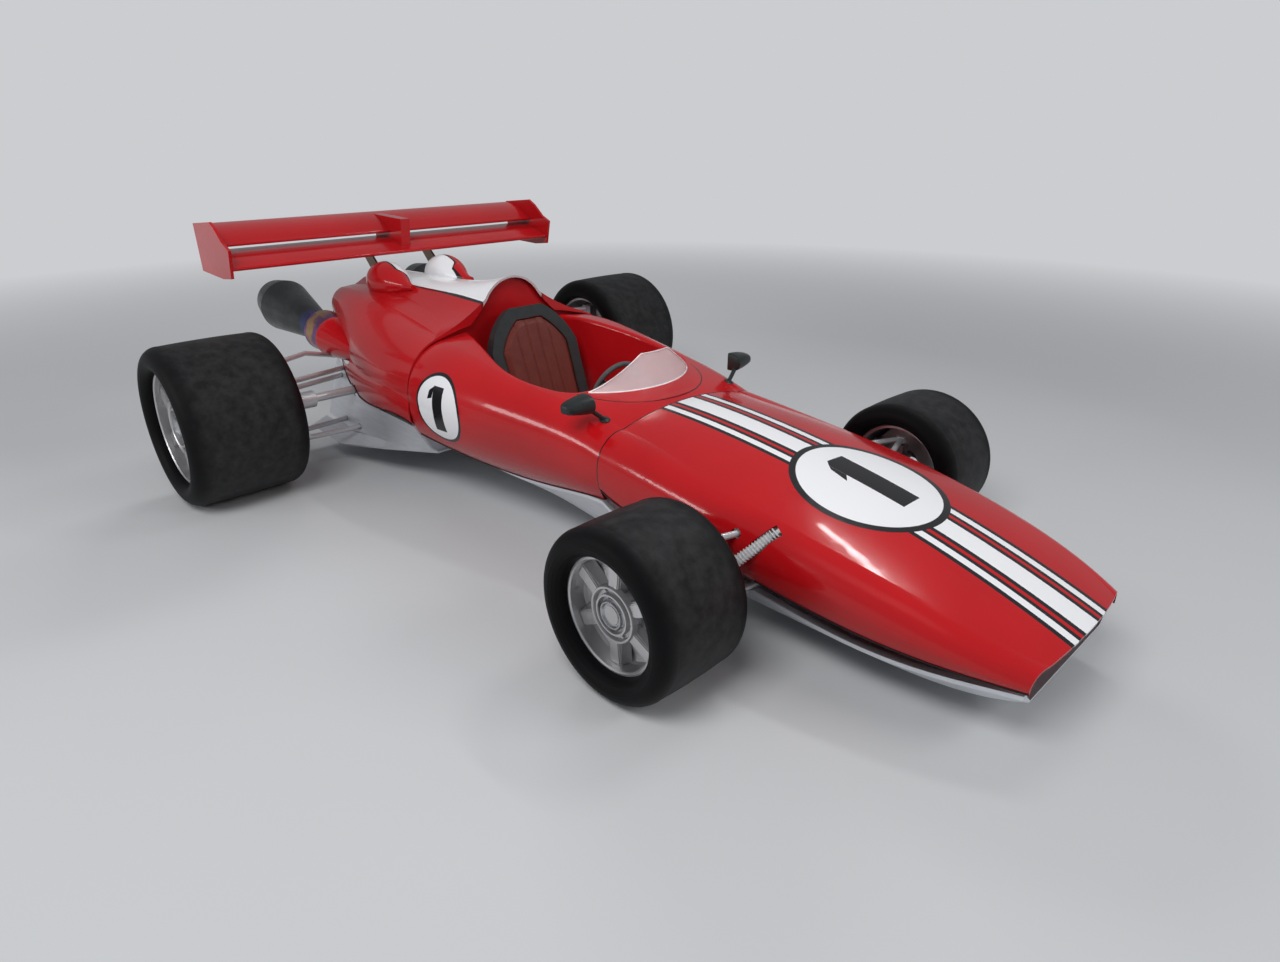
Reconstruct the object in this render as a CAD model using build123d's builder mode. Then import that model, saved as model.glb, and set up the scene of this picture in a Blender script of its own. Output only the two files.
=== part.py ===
"""Open wheel racing car: an assembly of separate pieces.

Millimetres. +X forward, +Y left, +Z up, origin on the ground under the middle
of the car. "Ahead" in the tables is the distance ahead of the rear axle.
"""
import math
import os

from build123d import *

os.makedirs("parts", exist_ok=True)

# ---- driving dimensions ----
WHEELBASE = 2300.0
REAR_AXLE_X = -1100.0
FRONT_AXLE_X = REAR_AXLE_X + WHEELBASE
FRONT_TRACK = 1562.0
REAR_TRACK = 2324.0
FRONT_TYRE_RADIUS = 275.0
REAR_TYRE_RADIUS = 356.0
FRONT_TYRE_WIDTH = 363.0
REAR_TYRE_WIDTH = 499.0
FRONT_RIM_RADIUS = 184.0
REAR_RIM_RADIUS = 249.0
RIM_INSET = 46.0
RIM_WALL = 12.0
SPOKES = 6

SKIN = 8.0
SEAM_GAP = 0.3
PAN_GAP = 0.6
PAN_SKIN = 6.0
PAN_LIP = 14.0

NOSE_TIP_AHEAD = 3281.0
NOSE_SEAM_AHEAD = 1730.0
COVER_SEAM_AHEAD = 630.0
NOSE_PLAN_RADIUS = 1750.0

COCKPIT_HALF_WIDTH = 285.0
FOOTWELL_TOP_Z = 520.0

PIN_CLEARANCE = 0.05
KINGPIN_INSET = 105.0
KINGPIN_RADIUS = 9.0
SPINDLE_RADIUS = 22.0
ARM_RADIUS = 11.0
SLEEVE_CLEARANCE = 6.0

WING_SPAN = 1854.0
WING_PLATE = 14.0
HALF_SPAN = WING_SPAN / 2

# ---- body stations: ahead of rear axle, then half-widths and heights ----
NOSE = [
    # ahead, top_z, shoulder_y, shoulder_z, wide_y, wide_z, low_y, low_z
    (1730, 585, 328, 543, 455, 440, 420, 290),
    (2060, 567, 352, 513, 458, 385, 405, 225),
    (2420, 519, 378, 466, 452, 322, 372, 183),
    (2750, 452, 362, 412, 432, 288, 355, 152),
    (3020, 377, 328, 349, 397, 260, 338, 168),
    (3281, 285, 236, 264, 308, 220, 300, 204),
]
OPENING = [
    # ahead, half width of the cockpit's opening: arc ends and arc middles by turns
    (600, 245),
    (815, 316),
    (1000, 368),
    (1180, 386),
    (1340, 358),
    (1400, 334),
    (1440, 300),
]
OPENING_FRONT = 1500.0
OPENING_ROLL = 16.0
OPENING_WIDEST = 386.0
OPENING_LOWEST = 560.0
COCKPIT = [
    # ahead, top_z, shoulder_y, shoulder_z, wide_y, wide_z, low_y, low_z
    (630, 720, 400, 690, 585, 450, 545, 290),
    (830, 715, 412, 686, 585, 450, 500, 255),
    (1080, 680, 418, 650, 553, 440, 425, 215),
    (1400, 640, 385, 612, 497, 430, 400, 235),
    (1730, 585, 328, 543, 455, 440, 420, 290),
]
SPINE = [
    # ahead, peak_z, crown_y, crown_z, foot_y, foot_z
    (-560, 812, 150, 792, 280, 735),
    (-300, 822, 155, 801, 300, 740),
    (0, 835, 160, 808, 320, 725),
    (350, 868, 160, 824, 350, 705),
    (630, 925, 150, 838, 430, 700),
]
COVER = [
    # ahead, top_z, shoulder_y, shoulder_z, wide_y, wide_z, low_y, low_z
    (-560, 770, 285, 755, 350, 640, 350, 520),
    (-300, 790, 300, 765, 440, 560, 450, 430),
    (0, 795, 315, 745, 530, 490, 540, 345),
    (320, 785, 345, 720, 575, 470, 575, 335),
    (630, 760, 400, 705, 585, 450, 580, 335),
]
FRONT_PAN = [
    # ahead, top_y, top_z, belly_y, belly_z
    (1730, 420, 290, 290, 80),
    (2060, 405, 225, 290, 76),
    (2420, 372, 183, 290, 75),
    (2750, 355, 152, 285, 76),
    (3020, 332, 166, 275, 90),
    (3240, 302, 199, 262, 150),
]
MID_PAN = [
    # ahead, top_y, top_z, belly_y, belly_z
    (630, 470, 290, 270, 100),
    (830, 440, 255, 250, 95),
    (1080, 400, 215, 245, 90),
    (1400, 390, 235, 265, 85),
    (1730, 420, 290, 290, 80),
]
REAR_PAN = [
    # ahead, top_y, top_z, foot_y, foot_z, lip_y, lip_z
    (-340, 458, 445, 550, 150, 650, 100),
    (0, 540, 345, 572, 145, 655, 90),
    (320, 575, 335, 565, 175, 590, 138),
    (630, 580, 335, 505, 205, 480, 175),
]
PLINTH_AHEAD = 1372.0
PLINTH_RADIUS = 330.0
PLINTH_RISE = 7.0
BUMP_Y = 172.0
BUMP_AXIS_Z = 812.0
BUMP = [
    # ahead, radius
    (-352, 40),
    (-315, 84),
    (-250, 102),
    (-120, 68),
    (20, 14),
]

# ---- exhaust ----
EXHAUST_Y = 450.0
EXHAUST_TILT = 7.5
COLLAR_AHEAD = -470.0
COLLAR_Z = 560.0
PIPE_RADIUS = 62.0
COLLAR_RADIUS = 74.0
FAIRING_RADIUS = 106.0
MANIFOLD_RADIUS = 46.0
MEGAPHONE_RADIUS = 142.0
TAIL_RADIUS = 114.0
TAIL_AHEAD = -1081.0
EXHAUST_WALL = 5.0

# ---- wing side view: ahead, height ----
ENDPLATE = [(-680, 1125), (-445, 1147), (-395, 1122), (-320, 1062), (-255, 1035),
            (-285, 905), (-390, 893), (-672, 900)]
CENTRE_PLATE = [(-600, 1115), (-305, 1108), (-320, 968), (-420, 960), (-600, 985)]
STRUT = [(-205, 790), (-330, 790), (-545, 999), (-440, 982)]
STRUT_Y = 172.0

# ---- suspension: ahead, sideways, height of both ends ----
FRONT_UPPER_BALL_Z = FRONT_TYRE_RADIUS + 105.0
FRONT_LOWER_BALL_Z = FRONT_TYRE_RADIUS - 105.0
REAR_UPPER_BALL_Z = REAR_TYRE_RADIUS + 185.0
KINGPIN_Y = FRONT_TRACK / 2 - KINGPIN_INSET
RAIL_Y = 270.0
FRAME_Y = 300.0
REAR_POST_INSET = 160.0
STEER_ARM = 105.0
RACK_Z = FRONT_TYRE_RADIUS - 40.0
TIE_ROD_RADIUS = 10.0
RACK_HALF = 270.0
HOUSING_HALF = 200.0
EYE_BORE = 15.0
PIN_RADIUS = 6.0
DAMPER_FOOT = (31.0, 580.0, FRONT_LOWER_BALL_Z + 65.0)
DAMPER_HEAD = (200.0, 400.0, 440.0)
DAMPER_RADIUS = 15.0
DAMPER_POST = 75.0

# ---- steering column ----
COLUMN_TILT = 20.0
STEERING_WHEEL_AHEAD = 1330.0
STEERING_WHEEL_Z = 540.0
STEERING_WHEEL_RADIUS = 130.0
COLUMN_RADIUS = 12.0
COLUMN_LENGTH = 800.0

# ---- seat: ahead and height of the foot and top of its back ----
SEAT_BASE = (975.0, 135.0)
SEAT_TOP = (722.0, 800.0)
SEAT_HALF_WIDTH = 240.0
SEAT_BACK_DEPTH = 55.0
SEAT_BORDER = 52.0
SEAT_RECESS = 25.0
PAD_GAP = 0.5

# ---- windscreen in plan ----
SCREEN_RADIUS = 402.0
SCREEN_AHEAD = 1222.0

# ---- engine, gearbox and towing eye ----
ENGINE_SIZE = (496.0, 440.0, 370.0)
ENGINE_AHEAD = 348.0
ENGINE_BOTTOM_Z = 178.0
GEARBOX_Y = 150.0
TOW_EYE_WIDTH = 14.0
TOW_EYE_RADIUS = 14.0
TOW_EYE_AHEAD = -478.0


def ahead(distance):
    """Row X of a point a distance ahead of the rear axle."""
    return REAR_AXLE_X + distance


def shell_face(station, inset=0.0, drop=0.0, shift=0.0):
    """Closed body section with its flat side down."""
    pos, top_z, sh_y, sh_z, wide_y, wide_z, low_y, low_z = station
    top = top_z - inset
    shoulder = (sh_y - inset * 0.7, sh_z - inset * 0.9)
    wide = (wide_y - inset, wide_z)
    low = (low_y - inset, low_z - drop)
    upper = ((shoulder[0] + wide[0]) / 2 + 0.20 * (shoulder[1] - wide[1]),
             (shoulder[1] + wide[1]) / 2 + 0.20 * (wide[0] - shoulder[0]))
    lower = ((low[0] + wide[0]) / 2 + 0.09 * (wide[1] - low[1]),
             (low[1] + wide[1]) / 2 - 0.09 * (wide[0] - low[0]))
    with BuildSketch(Plane.YZ.offset(ahead(pos) + shift), mode=Mode.PRIVATE) as face:
        with BuildLine():
            ThreePointArc((-shoulder[0], shoulder[1]), (0, top), shoulder)
            ThreePointArc(shoulder, upper, wide)
            ThreePointArc(wide, lower, low)
            Line(low, (-low[0], low[1]))
            ThreePointArc((-low[0], low[1]), (-lower[0], lower[1]), (-wide[0], wide[1]))
            ThreePointArc((-wide[0], wide[1]), (-upper[0], upper[1]), (-shoulder[0], shoulder[1]))
        make_face()
    return face.sketch


def pan_face(station, inset=0.0, rise=0.0, shift=0.0):
    """Section of a belly pan: wide at the top, narrow at the belly."""
    pos, top_y, top_z, belly_y, belly_z = station
    upper = top_y + PAN_LIP if inset == 0 else top_y - 2 * inset
    base = belly_y - inset
    with BuildSketch(Plane.YZ.offset(ahead(pos) + shift), mode=Mode.PRIVATE) as face:
        with BuildLine():
            Polyline((-upper, top_z - PAN_GAP + rise), (upper, top_z - PAN_GAP + rise),
                     (upper, top_z - PAN_LIP), (base, belly_z + inset),
                     (-base, belly_z + inset), (-upper, top_z - PAN_LIP), close=True)
        make_face()
    return face.sketch


def ends(stations, reach):
    """Shifts that carry the two end sections past the solid they cut."""
    last = len(stations) - 1
    return [-reach if i == 0 else reach if i == last else 0.0 for i in range(last + 1)]


def spine_face(station, inset=0.0, drop=0.0, shift=0.0):
    """Section of the raised spine with its headrest peak."""
    pos, peak_z, crown_y, crown_z, foot_y, foot_z = station
    crown = (crown_y - inset, crown_z - inset * 0.7)
    foot = (foot_y - inset, foot_z - drop)
    flank = (crown[0] + 0.42 * (foot[0] - crown[0]), crown[1] - 0.52 * (crown[1] - foot[1]))
    with BuildSketch(Plane.YZ.offset(ahead(pos) + shift), mode=Mode.PRIVATE) as face:
        with BuildLine():
            ThreePointArc((-crown[0], crown[1]), (0, peak_z - inset), crown)
            ThreePointArc(crown, flank, foot)
            Line(foot, (-foot[0], foot[1]))
            ThreePointArc((-foot[0], foot[1]), (-flank[0], flank[1]), (-crown[0], crown[1]))
        make_face()
    return face.sketch


def rear_pan_face(station, inset=0.0, shift=0.0):
    """Section of the rear side panels with their floor and foot lip."""
    pos, top_y, top_z, foot_y, foot_z, lip_y, lip_z = station
    top = (top_y + 2 if inset == 0 else top_y - inset, top_z - PAN_GAP + 4 * inset)
    foot = (foot_y - inset, foot_z + inset)
    lip = (lip_y - 3 * inset, lip_z + 10 if inset == 0 else lip_z + inset + 1)
    base = (lip_y - 8 - 3 * inset, lip_z + inset)
    with BuildSketch(Plane.YZ.offset(ahead(pos) + shift), mode=Mode.PRIVATE) as face:
        with BuildLine():
            Polyline(top, foot, lip, base, (-base[0], base[1]), (-lip[0], lip[1]),
                     (-foot[0], foot[1]), (-top[0], top[1]), close=True)
        make_face()
    return face.sketch


def disc(plane, radius):
    """Round face on a plane."""
    with BuildSketch(plane, mode=Mode.PRIVATE) as face:
        Circle(radius)
    return face.sketch


def rod(start, end, radius):
    """Round bar between two points."""
    along = Vector(*end) - Vector(*start)
    return Solid.make_cylinder(radius, along.length, Plane(origin=start, z_dir=along))


def is_lip(edge):
    """Whether an edge runs along the top of the cockpit's opening."""
    box = edge.bounding_box()
    inside = box.max.X < ahead(OPENING_FRONT) + 1 and max(abs(box.min.Y), box.max.Y) < OPENING_WIDEST + 1
    level_end = abs(box.size.X) < 1
    return inside and box.min.Z > OPENING_LOWEST and edge.length > 20 and not level_end


def save(part, name):
    """Label a finished piece and write it out."""
    part.label = name
    export_step(part, f"parts/{name}.step")


# ---- cavities that shells, plates and blocks share ----
with BuildPart() as nose_inner:
    loft([shell_face(s, SKIN, 30, d) for s, d in zip(NOSE, ends(NOSE, 4))])
with BuildPart() as front_pan_outer:
    loft([pan_face(s) for s in FRONT_PAN])
with BuildPart() as cockpit_cavity:
    with BuildSketch(Plane.XY):
        with Locations((ahead(1180), 0)):
            Rectangle(1130, 2 * (COCKPIT_HALF_WIDTH - 15))
    extrude(amount=FOOTWELL_TOP_Z)
    with BuildSketch(Plane.XY.offset(300)):
        with BuildLine():
            for side in (-1, 1):
                corners = [(ahead(pos), side * half) for pos, half in OPENING]
                for start, middle, end in zip(corners[:-2:2], corners[1::2], corners[2::2]):
                    ThreePointArc(start, middle, end)
            rear_corner = (ahead(OPENING[0][0]), OPENING[0][1])
            front_corner = (ahead(OPENING[-1][0]), OPENING[-1][1])
            Line(rear_corner, (rear_corner[0], -rear_corner[1]))
            ThreePointArc(front_corner, (ahead(OPENING_FRONT), 0), (front_corner[0], -front_corner[1]))
        make_face()
    extrude(amount=600)
with BuildPart() as cover_inner:
    loft([shell_face(s, SKIN, 30, d) for s, d in zip(COVER, ends(COVER, 4))])
    loft([spine_face(s, SKIN, 90, d) for s, d in zip(SPINE, ends(SPINE, 4))])

with BuildPart() as rear_pan_cavity:
    loft([rear_pan_face(s, PAN_SKIN, d) for s, d in zip(REAR_PAN, ends(REAR_PAN, 4))], ruled=True)

# ---- rear links and the clearance sleeves round them ----
rear_post_y = REAR_TRACK / 2 - REAR_POST_INSET
REAR_LINKS = [
    # points of a bar from the upright inward: ahead of the axle, sideways, height
    [(0, rear_post_y, 541), (-250, 660, 514), (-400, FRAME_Y - 12, 395)],
    [(40, rear_post_y, 190), (60, FRAME_Y - 12, 175)],
    [(-40, rear_post_y, 190), (-160, FRAME_Y - 12, 175)],
    [(-20, rear_post_y, 440), (-320, FRAME_Y - 12, 395)],
    [(-20, rear_post_y, 405), (-320, FRAME_Y - 12, 360)],
]
rear_bars = []
rear_sleeves = []
for points in REAR_LINKS:
    for side in (-1, 1):
        stops = [(REAR_AXLE_X + x, side * y, z) for x, y, z in points]
        for start, end in zip(stops, stops[1:]):
            rear_bars.append(rod(start, end, ARM_RADIUS + 1))
            rear_sleeves.append(rod(start, end, ARM_RADIUS + SLEEVE_CLEARANCE))
        for joint in stops[1:-1]:
            rear_bars.append(Solid.make_sphere(ARM_RADIUS + 1, Plane(joint)))
for side in (-1, 1):
    rear_sleeves.append(rod((REAR_AXLE_X, side * 310, REAR_TYRE_RADIUS),
                            (REAR_AXLE_X, side * 800, REAR_TYRE_RADIUS), 34))

# ---- front suspension arms ----
FRONT_ARMS = [
    # name, ball height, inner height, front reach, rear reach, which way its pin points
    ("front_upper_arms", FRONT_UPPER_BALL_Z, 400.0, 130.0, 175.0, -1),
    ("front_lower_arms", FRONT_LOWER_BALL_Z, 215.0, 130.0, 200.0, 1),
]
arm_sleeves = []
front_arm_parts = []
for name, ball_z, inner_z, front, rear, pin_up in FRONT_ARMS:
    with BuildPart() as arms:
        for side in (-1, 1):
            ball = (FRONT_AXLE_X, side * KINGPIN_Y, ball_z - pin_up * 18)
            for reach in (front, -rear):
                inner = (FRONT_AXLE_X + reach, side * RAIL_Y, inner_z)
                add(rod(ball, inner, ARM_RADIUS))
                arm_sleeves.append(rod(ball, inner, ARM_RADIUS + SLEEVE_CLEARANCE))
            with Locations(ball):
                Cylinder(20, 24)
            with Locations((ball[0], ball[1], ball_z + pin_up * 4)):
                Cylinder(KINGPIN_RADIUS, 30)
        with Locations((FRONT_AXLE_X, 0, ball_z)):
            Box(900, 2 * RAIL_Y + 0.2, 500, mode=Mode.SUBTRACT)
    front_arm_parts.append(arms.part)
    save(arms.part, name)

# ---- front dampers, from the lower arms up into the nose ----
with BuildPart() as dampers:
    for side in (-1, 1):
        foot = Vector(FRONT_AXLE_X + DAMPER_FOOT[0], side * DAMPER_FOOT[1], DAMPER_FOOT[2])
        head = Vector(FRONT_AXLE_X + DAMPER_HEAD[0], side * DAMPER_HEAD[1], DAMPER_HEAD[2])
        add(rod(foot, head, 8))
        add(rod(foot + (head - foot) * 0.25, foot + (head - foot) * 0.9, DAMPER_RADIUS))
        add(rod(foot - Vector(0, 0, DAMPER_POST), foot, 8))
        arm_sleeves.append(rod(foot, head, DAMPER_RADIUS + SLEEVE_CLEARANCE))
    for part in front_arm_parts:
        add(part, mode=Mode.SUBTRACT)
save(dampers.part, "front_dampers")

# ---- nose cone ----
with BuildPart() as nose_cone:
    loft([shell_face(s) for s in NOSE])
    add(nose_inner.part, mode=Mode.SUBTRACT)
    with Locations((ahead(NOSE_TIP_AHEAD - NOSE_PLAN_RADIUS), 0, 300)):
        Cylinder(NOSE_PLAN_RADIUS, 900, mode=Mode.INTERSECT)
    for sleeve in arm_sleeves:
        add(sleeve, mode=Mode.SUBTRACT)
    with Locations((FRONT_AXLE_X - STEER_ARM, 0, RACK_Z)):
        Cylinder(TIE_ROD_RADIUS + 9, 1200, rotation=(90, 0, 0), mode=Mode.SUBTRACT)
save(nose_cone.part, "nose_cone")

# ---- front belly pan ----
with BuildPart() as front_pan:
    add(front_pan_outer.part)
    loft([pan_face(s, PAN_SKIN, 40, d) for s, d in zip(FRONT_PAN, ends(FRONT_PAN, 4))],
         mode=Mode.SUBTRACT)
    for sleeve in arm_sleeves:
        add(sleeve, mode=Mode.SUBTRACT)
save(front_pan.part, "front_belly_pan")

# ---- footbox carrying the front pick-ups ----
with BuildPart() as footbox:
    with Locations((FRONT_AXLE_X, 0, 253)):
        Box(460, 2 * RAIL_Y, 350)
        Box(461, 2 * RAIL_Y - 20, 330, mode=Mode.SUBTRACT)
    add(front_pan.part, mode=Mode.SUBTRACT)
    with Locations((FRONT_AXLE_X - STEER_ARM, 0, RACK_Z)):
        Cylinder(26, 700, rotation=(90, 0, 0), mode=Mode.SUBTRACT)
save(footbox.part, "footbox")

# ---- radiator behind the nose opening ----
with BuildPart() as radiator:
    with Locations((ahead(2950), 0, 230)):
        Box(50, 480, 320)
    add(nose_inner.part, mode=Mode.INTERSECT)
    add(front_pan.part, mode=Mode.SUBTRACT)
save(radiator.part, "radiator")

# ---- cockpit body, with solid side tanks and the raised plinth under the screen ----
with BuildPart() as screen_plinth:
    loft([shell_face(s, rise) for s, rise in zip(COCKPIT[-2:], (0.0, -PLINTH_RISE))])
    with Locations((ahead(PLINTH_AHEAD), 0, 560)):
        Cylinder(PLINTH_RADIUS, 300, mode=Mode.INTERSECT)
with BuildPart() as cockpit_outer:
    loft([shell_face(s) for s in COCKPIT])
    add(screen_plinth.part)
with BuildPart() as cockpit_body:
    add(cockpit_outer.part)
    add(cockpit_cavity.part, mode=Mode.SUBTRACT)
    lips = [e for e in cockpit_body.edges() if is_lip(e)]
    fillet(lips, OPENING_ROLL)
    with Locations((ahead(NOSE_SEAM_AHEAD), 0, 300)):
        Box(2 * SEAM_GAP, 2000, 1200, mode=Mode.SUBTRACT)
save(cockpit_body.part, "cockpit_body")

# ---- middle belly pan ----
with BuildPart() as mid_pan:
    loft([pan_face(s) for s in MID_PAN])
    loft([pan_face(s, PAN_SKIN, 40, d) for s, d in zip(MID_PAN, ends(MID_PAN, 4))],
         mode=Mode.SUBTRACT)
    with Locations((ahead(NOSE_SEAM_AHEAD), 0, 300)):
        Box(2 * SEAM_GAP, 2000, 1200, mode=Mode.SUBTRACT)
save(mid_pan.part, "middle_belly_pan")

# ---- engine cover ----
collar_x = ahead(COLLAR_AHEAD)
tilt = math.radians(EXHAUST_TILT)
pipe_dir = (-math.cos(tilt), 0, math.sin(tilt))
exhaust_length = (COLLAR_AHEAD - TAIL_AHEAD - TAIL_RADIUS * math.sin(tilt)) / math.cos(tilt)
exhaust_planes = [Plane(origin=(collar_x, side * EXHAUST_Y, COLLAR_Z), x_dir=(0, 1, 0), z_dir=pipe_dir)
                  for side in (-1, 1)]
with BuildPart() as rear_pan_outer:
    loft([rear_pan_face(s) for s in REAR_PAN], ruled=True)
with BuildPart() as engine_cover:
    loft([shell_face(s) for s in COVER])
    loft([spine_face(s) for s in SPINE])
    for plane in exhaust_planes:
        with Locations(plane.offset(-300)):
            Cone(30, FAIRING_RADIUS, 600, align=(Align.CENTER, Align.CENTER, Align.CENTER))
    add(cover_inner.part, mode=Mode.SUBTRACT)
    for plane in exhaust_planes:
        with Locations(plane.offset(-150)):
            Cylinder(COLLAR_RADIUS + 12, 520, mode=Mode.SUBTRACT)
    for side in (-1, 1):
        loft([disc(Plane(origin=(ahead(pos), side * BUMP_Y, BUMP_AXIS_Z), z_dir=(1, 0, 0)), radius)
              for pos, radius in BUMP])
    for sleeve in rear_sleeves:
        add(sleeve, mode=Mode.SUBTRACT)
    add(rear_pan_outer.part.moved(Location((0, 0, SEAM_GAP))), mode=Mode.SUBTRACT)
    with Locations((ahead(COVER_SEAM_AHEAD), 0, 300)):
        Box(2 * SEAM_GAP, 2000, 1400, mode=Mode.SUBTRACT)
save(engine_cover.part, "engine_cover")

# ---- rear side panels and floor ----
with BuildPart() as rear_pan:
    add(rear_pan_outer.part)
    add(rear_pan_cavity.part, mode=Mode.SUBTRACT)
    for sleeve in rear_sleeves:
        add(sleeve, mode=Mode.SUBTRACT)
    with Locations((ahead(COVER_SEAM_AHEAD), 0, 300)):
        Box(2 * SEAM_GAP, 2000, 1400, mode=Mode.SUBTRACT)
save(rear_pan.part, "rear_side_panels")

# ---- firewall ----
with BuildPart() as firewall_head:
    add(cover_inner.part)
    with Locations((ahead(600), 0, 345)):
        Box(8, 1400, 700, align=(Align.CENTER, Align.CENTER, Align.MIN), mode=Mode.INTERSECT)
with BuildPart() as firewall_foot:
    add(rear_pan_cavity.part)
    with Locations((ahead(600), 0, 345)):
        Box(8, 1400, 300, align=(Align.CENTER, Align.CENTER, Align.MAX), mode=Mode.INTERSECT)
with BuildPart() as firewall:
    add(firewall_head.part)
    add(firewall_foot.part)
save(firewall.part, "firewall")

# ---- engine and gearbox ----
with BuildPart() as engine:
    with Locations((ahead(ENGINE_AHEAD), 0, ENGINE_BOTTOM_Z)):
        Box(*ENGINE_SIZE, align=(Align.CENTER, Align.CENTER, Align.MIN))
save(engine.part, "engine_block")
with BuildPart() as gearbox:
    with Locations((ahead(-145), 0, REAR_TYRE_RADIUS)):
        Box(490, 2 * GEARBOX_Y, 240)
    with Locations((ahead(TOW_EYE_AHEAD) + 38, 0, REAR_TYRE_RADIUS)):
        Box(130, TOW_EYE_WIDTH, 64)
        fillet(gearbox.edges().filter_by(Axis.Y).group_by(Axis.X)[0], 24)
    with Locations((ahead(TOW_EYE_AHEAD), 0, REAR_TYRE_RADIUS)):
        Cylinder(TOW_EYE_RADIUS, 100, rotation=(90, 0, 0), mode=Mode.SUBTRACT)
save(gearbox.part, "gearbox")

# ---- exhausts ----
for side, plane in zip((-1, 1), exhaust_planes):
    with BuildPart() as exhaust:
        with Locations(plane.offset(-170)):
            Cylinder(PIPE_RADIUS, 340)
        with BuildSketch(plane.offset(-340)):
            Circle(PIPE_RADIUS)
        with BuildSketch(plane.offset(-430)):
            Circle(MANIFOLD_RADIUS)
        loft()
        with Locations(plane.offset(-540)):
            Cylinder(MANIFOLD_RADIUS, 224)
        with Locations(plane):
            Sphere(COLLAR_RADIUS)
        with Locations(plane.offset(20)):
            Cylinder(PIPE_RADIUS + 8, 60)
        port = (plane.offset(-620)).origin
        add(rod((port.X, side * 220, port.Z), (port.X, side * EXHAUST_Y, port.Z), MANIFOLD_RADIUS - 4))
        with BuildSketch(plane.offset(50)):
            Circle(PIPE_RADIUS + 8)
        with BuildSketch(plane.offset(480)):
            Circle(MEGAPHONE_RADIUS)
        loft()
        with BuildSketch(plane.offset(480)):
            Circle(MEGAPHONE_RADIUS)
        with BuildSketch(plane.offset(exhaust_length)):
            Circle(TAIL_RADIUS)
        loft()
        with BuildSketch(plane.offset(200)):
            Circle(PIPE_RADIUS + 20)
        with BuildSketch(plane.offset(480)):
            Circle(MEGAPHONE_RADIUS - EXHAUST_WALL)
        loft(mode=Mode.SUBTRACT)
        with BuildSketch(plane.offset(480)):
            Circle(MEGAPHONE_RADIUS - EXHAUST_WALL)
        with BuildSketch(plane.offset(exhaust_length + 1)):
            Circle(TAIL_RADIUS - EXHAUST_WALL)
        loft(mode=Mode.SUBTRACT)
    save(exhaust.part, "exhaust_left" if side > 0 else "exhaust_right")

# ---- wing ----
with BuildPart() as main_plane:
    with BuildSketch(Plane.XZ.offset(-HALF_SPAN + WING_PLATE)):
        with BuildLine():
            ThreePointArc((ahead(-570), 1005), (ahead(-400), 995), (ahead(-290), 956))
            ThreePointArc((ahead(-290), 956), (ahead(-281), 945), (ahead(-292), 938))
            ThreePointArc((ahead(-292), 938), (ahead(-430), 962), (ahead(-570), 1000))
            Line((ahead(-570), 1000), (ahead(-570), 1005))
        make_face()
    extrude(amount=2 * (HALF_SPAN - WING_PLATE))
save(main_plane.part, "wing_main_plane")
with BuildPart() as flap:
    with BuildSketch(Plane.XZ.offset(-HALF_SPAN + WING_PLATE)):
        with BuildLine():
            ThreePointArc((ahead(-664), 1122), (ahead(-520), 1090), (ahead(-442), 1046))
            ThreePointArc((ahead(-442), 1046), (ahead(-434), 1037), (ahead(-443), 1030))
            ThreePointArc((ahead(-443), 1030), (ahead(-545), 1066), (ahead(-664), 1117))
            Line((ahead(-664), 1117), (ahead(-664), 1122))
        make_face()
    extrude(amount=2 * (HALF_SPAN - WING_PLATE))
save(flap.part, "wing_flap")
for side, label in ((-1, "wing_endplate_right"), (1, "wing_endplate_left")):
    with BuildPart() as endplate:
        with BuildSketch(Plane.XZ.offset(-side * (HALF_SPAN - WING_PLATE / 2))):
            with BuildLine():
                Polyline([(ahead(x), z) for x, z in ENDPLATE], close=True)
            make_face()
        extrude(amount=WING_PLATE / 2, both=True)
    save(endplate.part, label)
with BuildPart() as centre_plate:
    with BuildSketch(Plane.XZ):
        with BuildLine():
            Polyline([(ahead(x), z) for x, z in CENTRE_PLATE], close=True)
        make_face()
    extrude(amount=26, both=True)
    add(main_plane.part, mode=Mode.SUBTRACT)
    add(flap.part, mode=Mode.SUBTRACT)
save(centre_plate.part, "wing_centre_plate")
with BuildPart() as struts:
    for side in (-1, 1):
        with BuildSketch(Plane.XZ.offset(-side * STRUT_Y)):
            with BuildLine():
                Polyline([(ahead(x), z) for x, z in STRUT], close=True)
            make_face()
        extrude(amount=5, both=True)
    add(main_plane.part, mode=Mode.SUBTRACT)
    add(engine_cover.part, mode=Mode.SUBTRACT)
save(struts.part, "wing_struts")

# ---- windscreen ----
with BuildPart() as windscreen:
    with Locations((ahead(SCREEN_AHEAD), 0, 640)):
        Cone(SCREEN_RADIUS, SCREEN_RADIUS - 60, 240)
        Cone(SCREEN_RADIUS - 5, SCREEN_RADIUS - 65, 240, mode=Mode.SUBTRACT)
    with BuildSketch(Plane.XZ) as screen_side:
        with BuildLine():
            ThreePointArc((ahead(1462), 606), (ahead(1535), 670), (ahead(1560), 745))
            Polyline((ahead(1560), 745), (ahead(1700), 745), (ahead(1700), 500),
                     (ahead(1462), 500), (ahead(1462), 606))
        make_face()
    extrude(amount=500, both=True, mode=Mode.INTERSECT)
    add(cockpit_outer.part, mode=Mode.SUBTRACT)
save(windscreen.part, "windscreen")

# ---- seat: arched back with a recess, floor cushion ----
back_length = math.hypot(SEAT_TOP[0] - SEAT_BASE[0], SEAT_TOP[1] - SEAT_BASE[1])
back_up = Vector(SEAT_TOP[0] - SEAT_BASE[0], 0, SEAT_TOP[1] - SEAT_BASE[1]) / back_length
back_plane = Plane(origin=(ahead(SEAT_BASE[0]), 0, SEAT_BASE[1]), x_dir=(0, 1, 0),
                   z_dir=Vector(back_up.Z, 0, -back_up.X))


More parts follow.
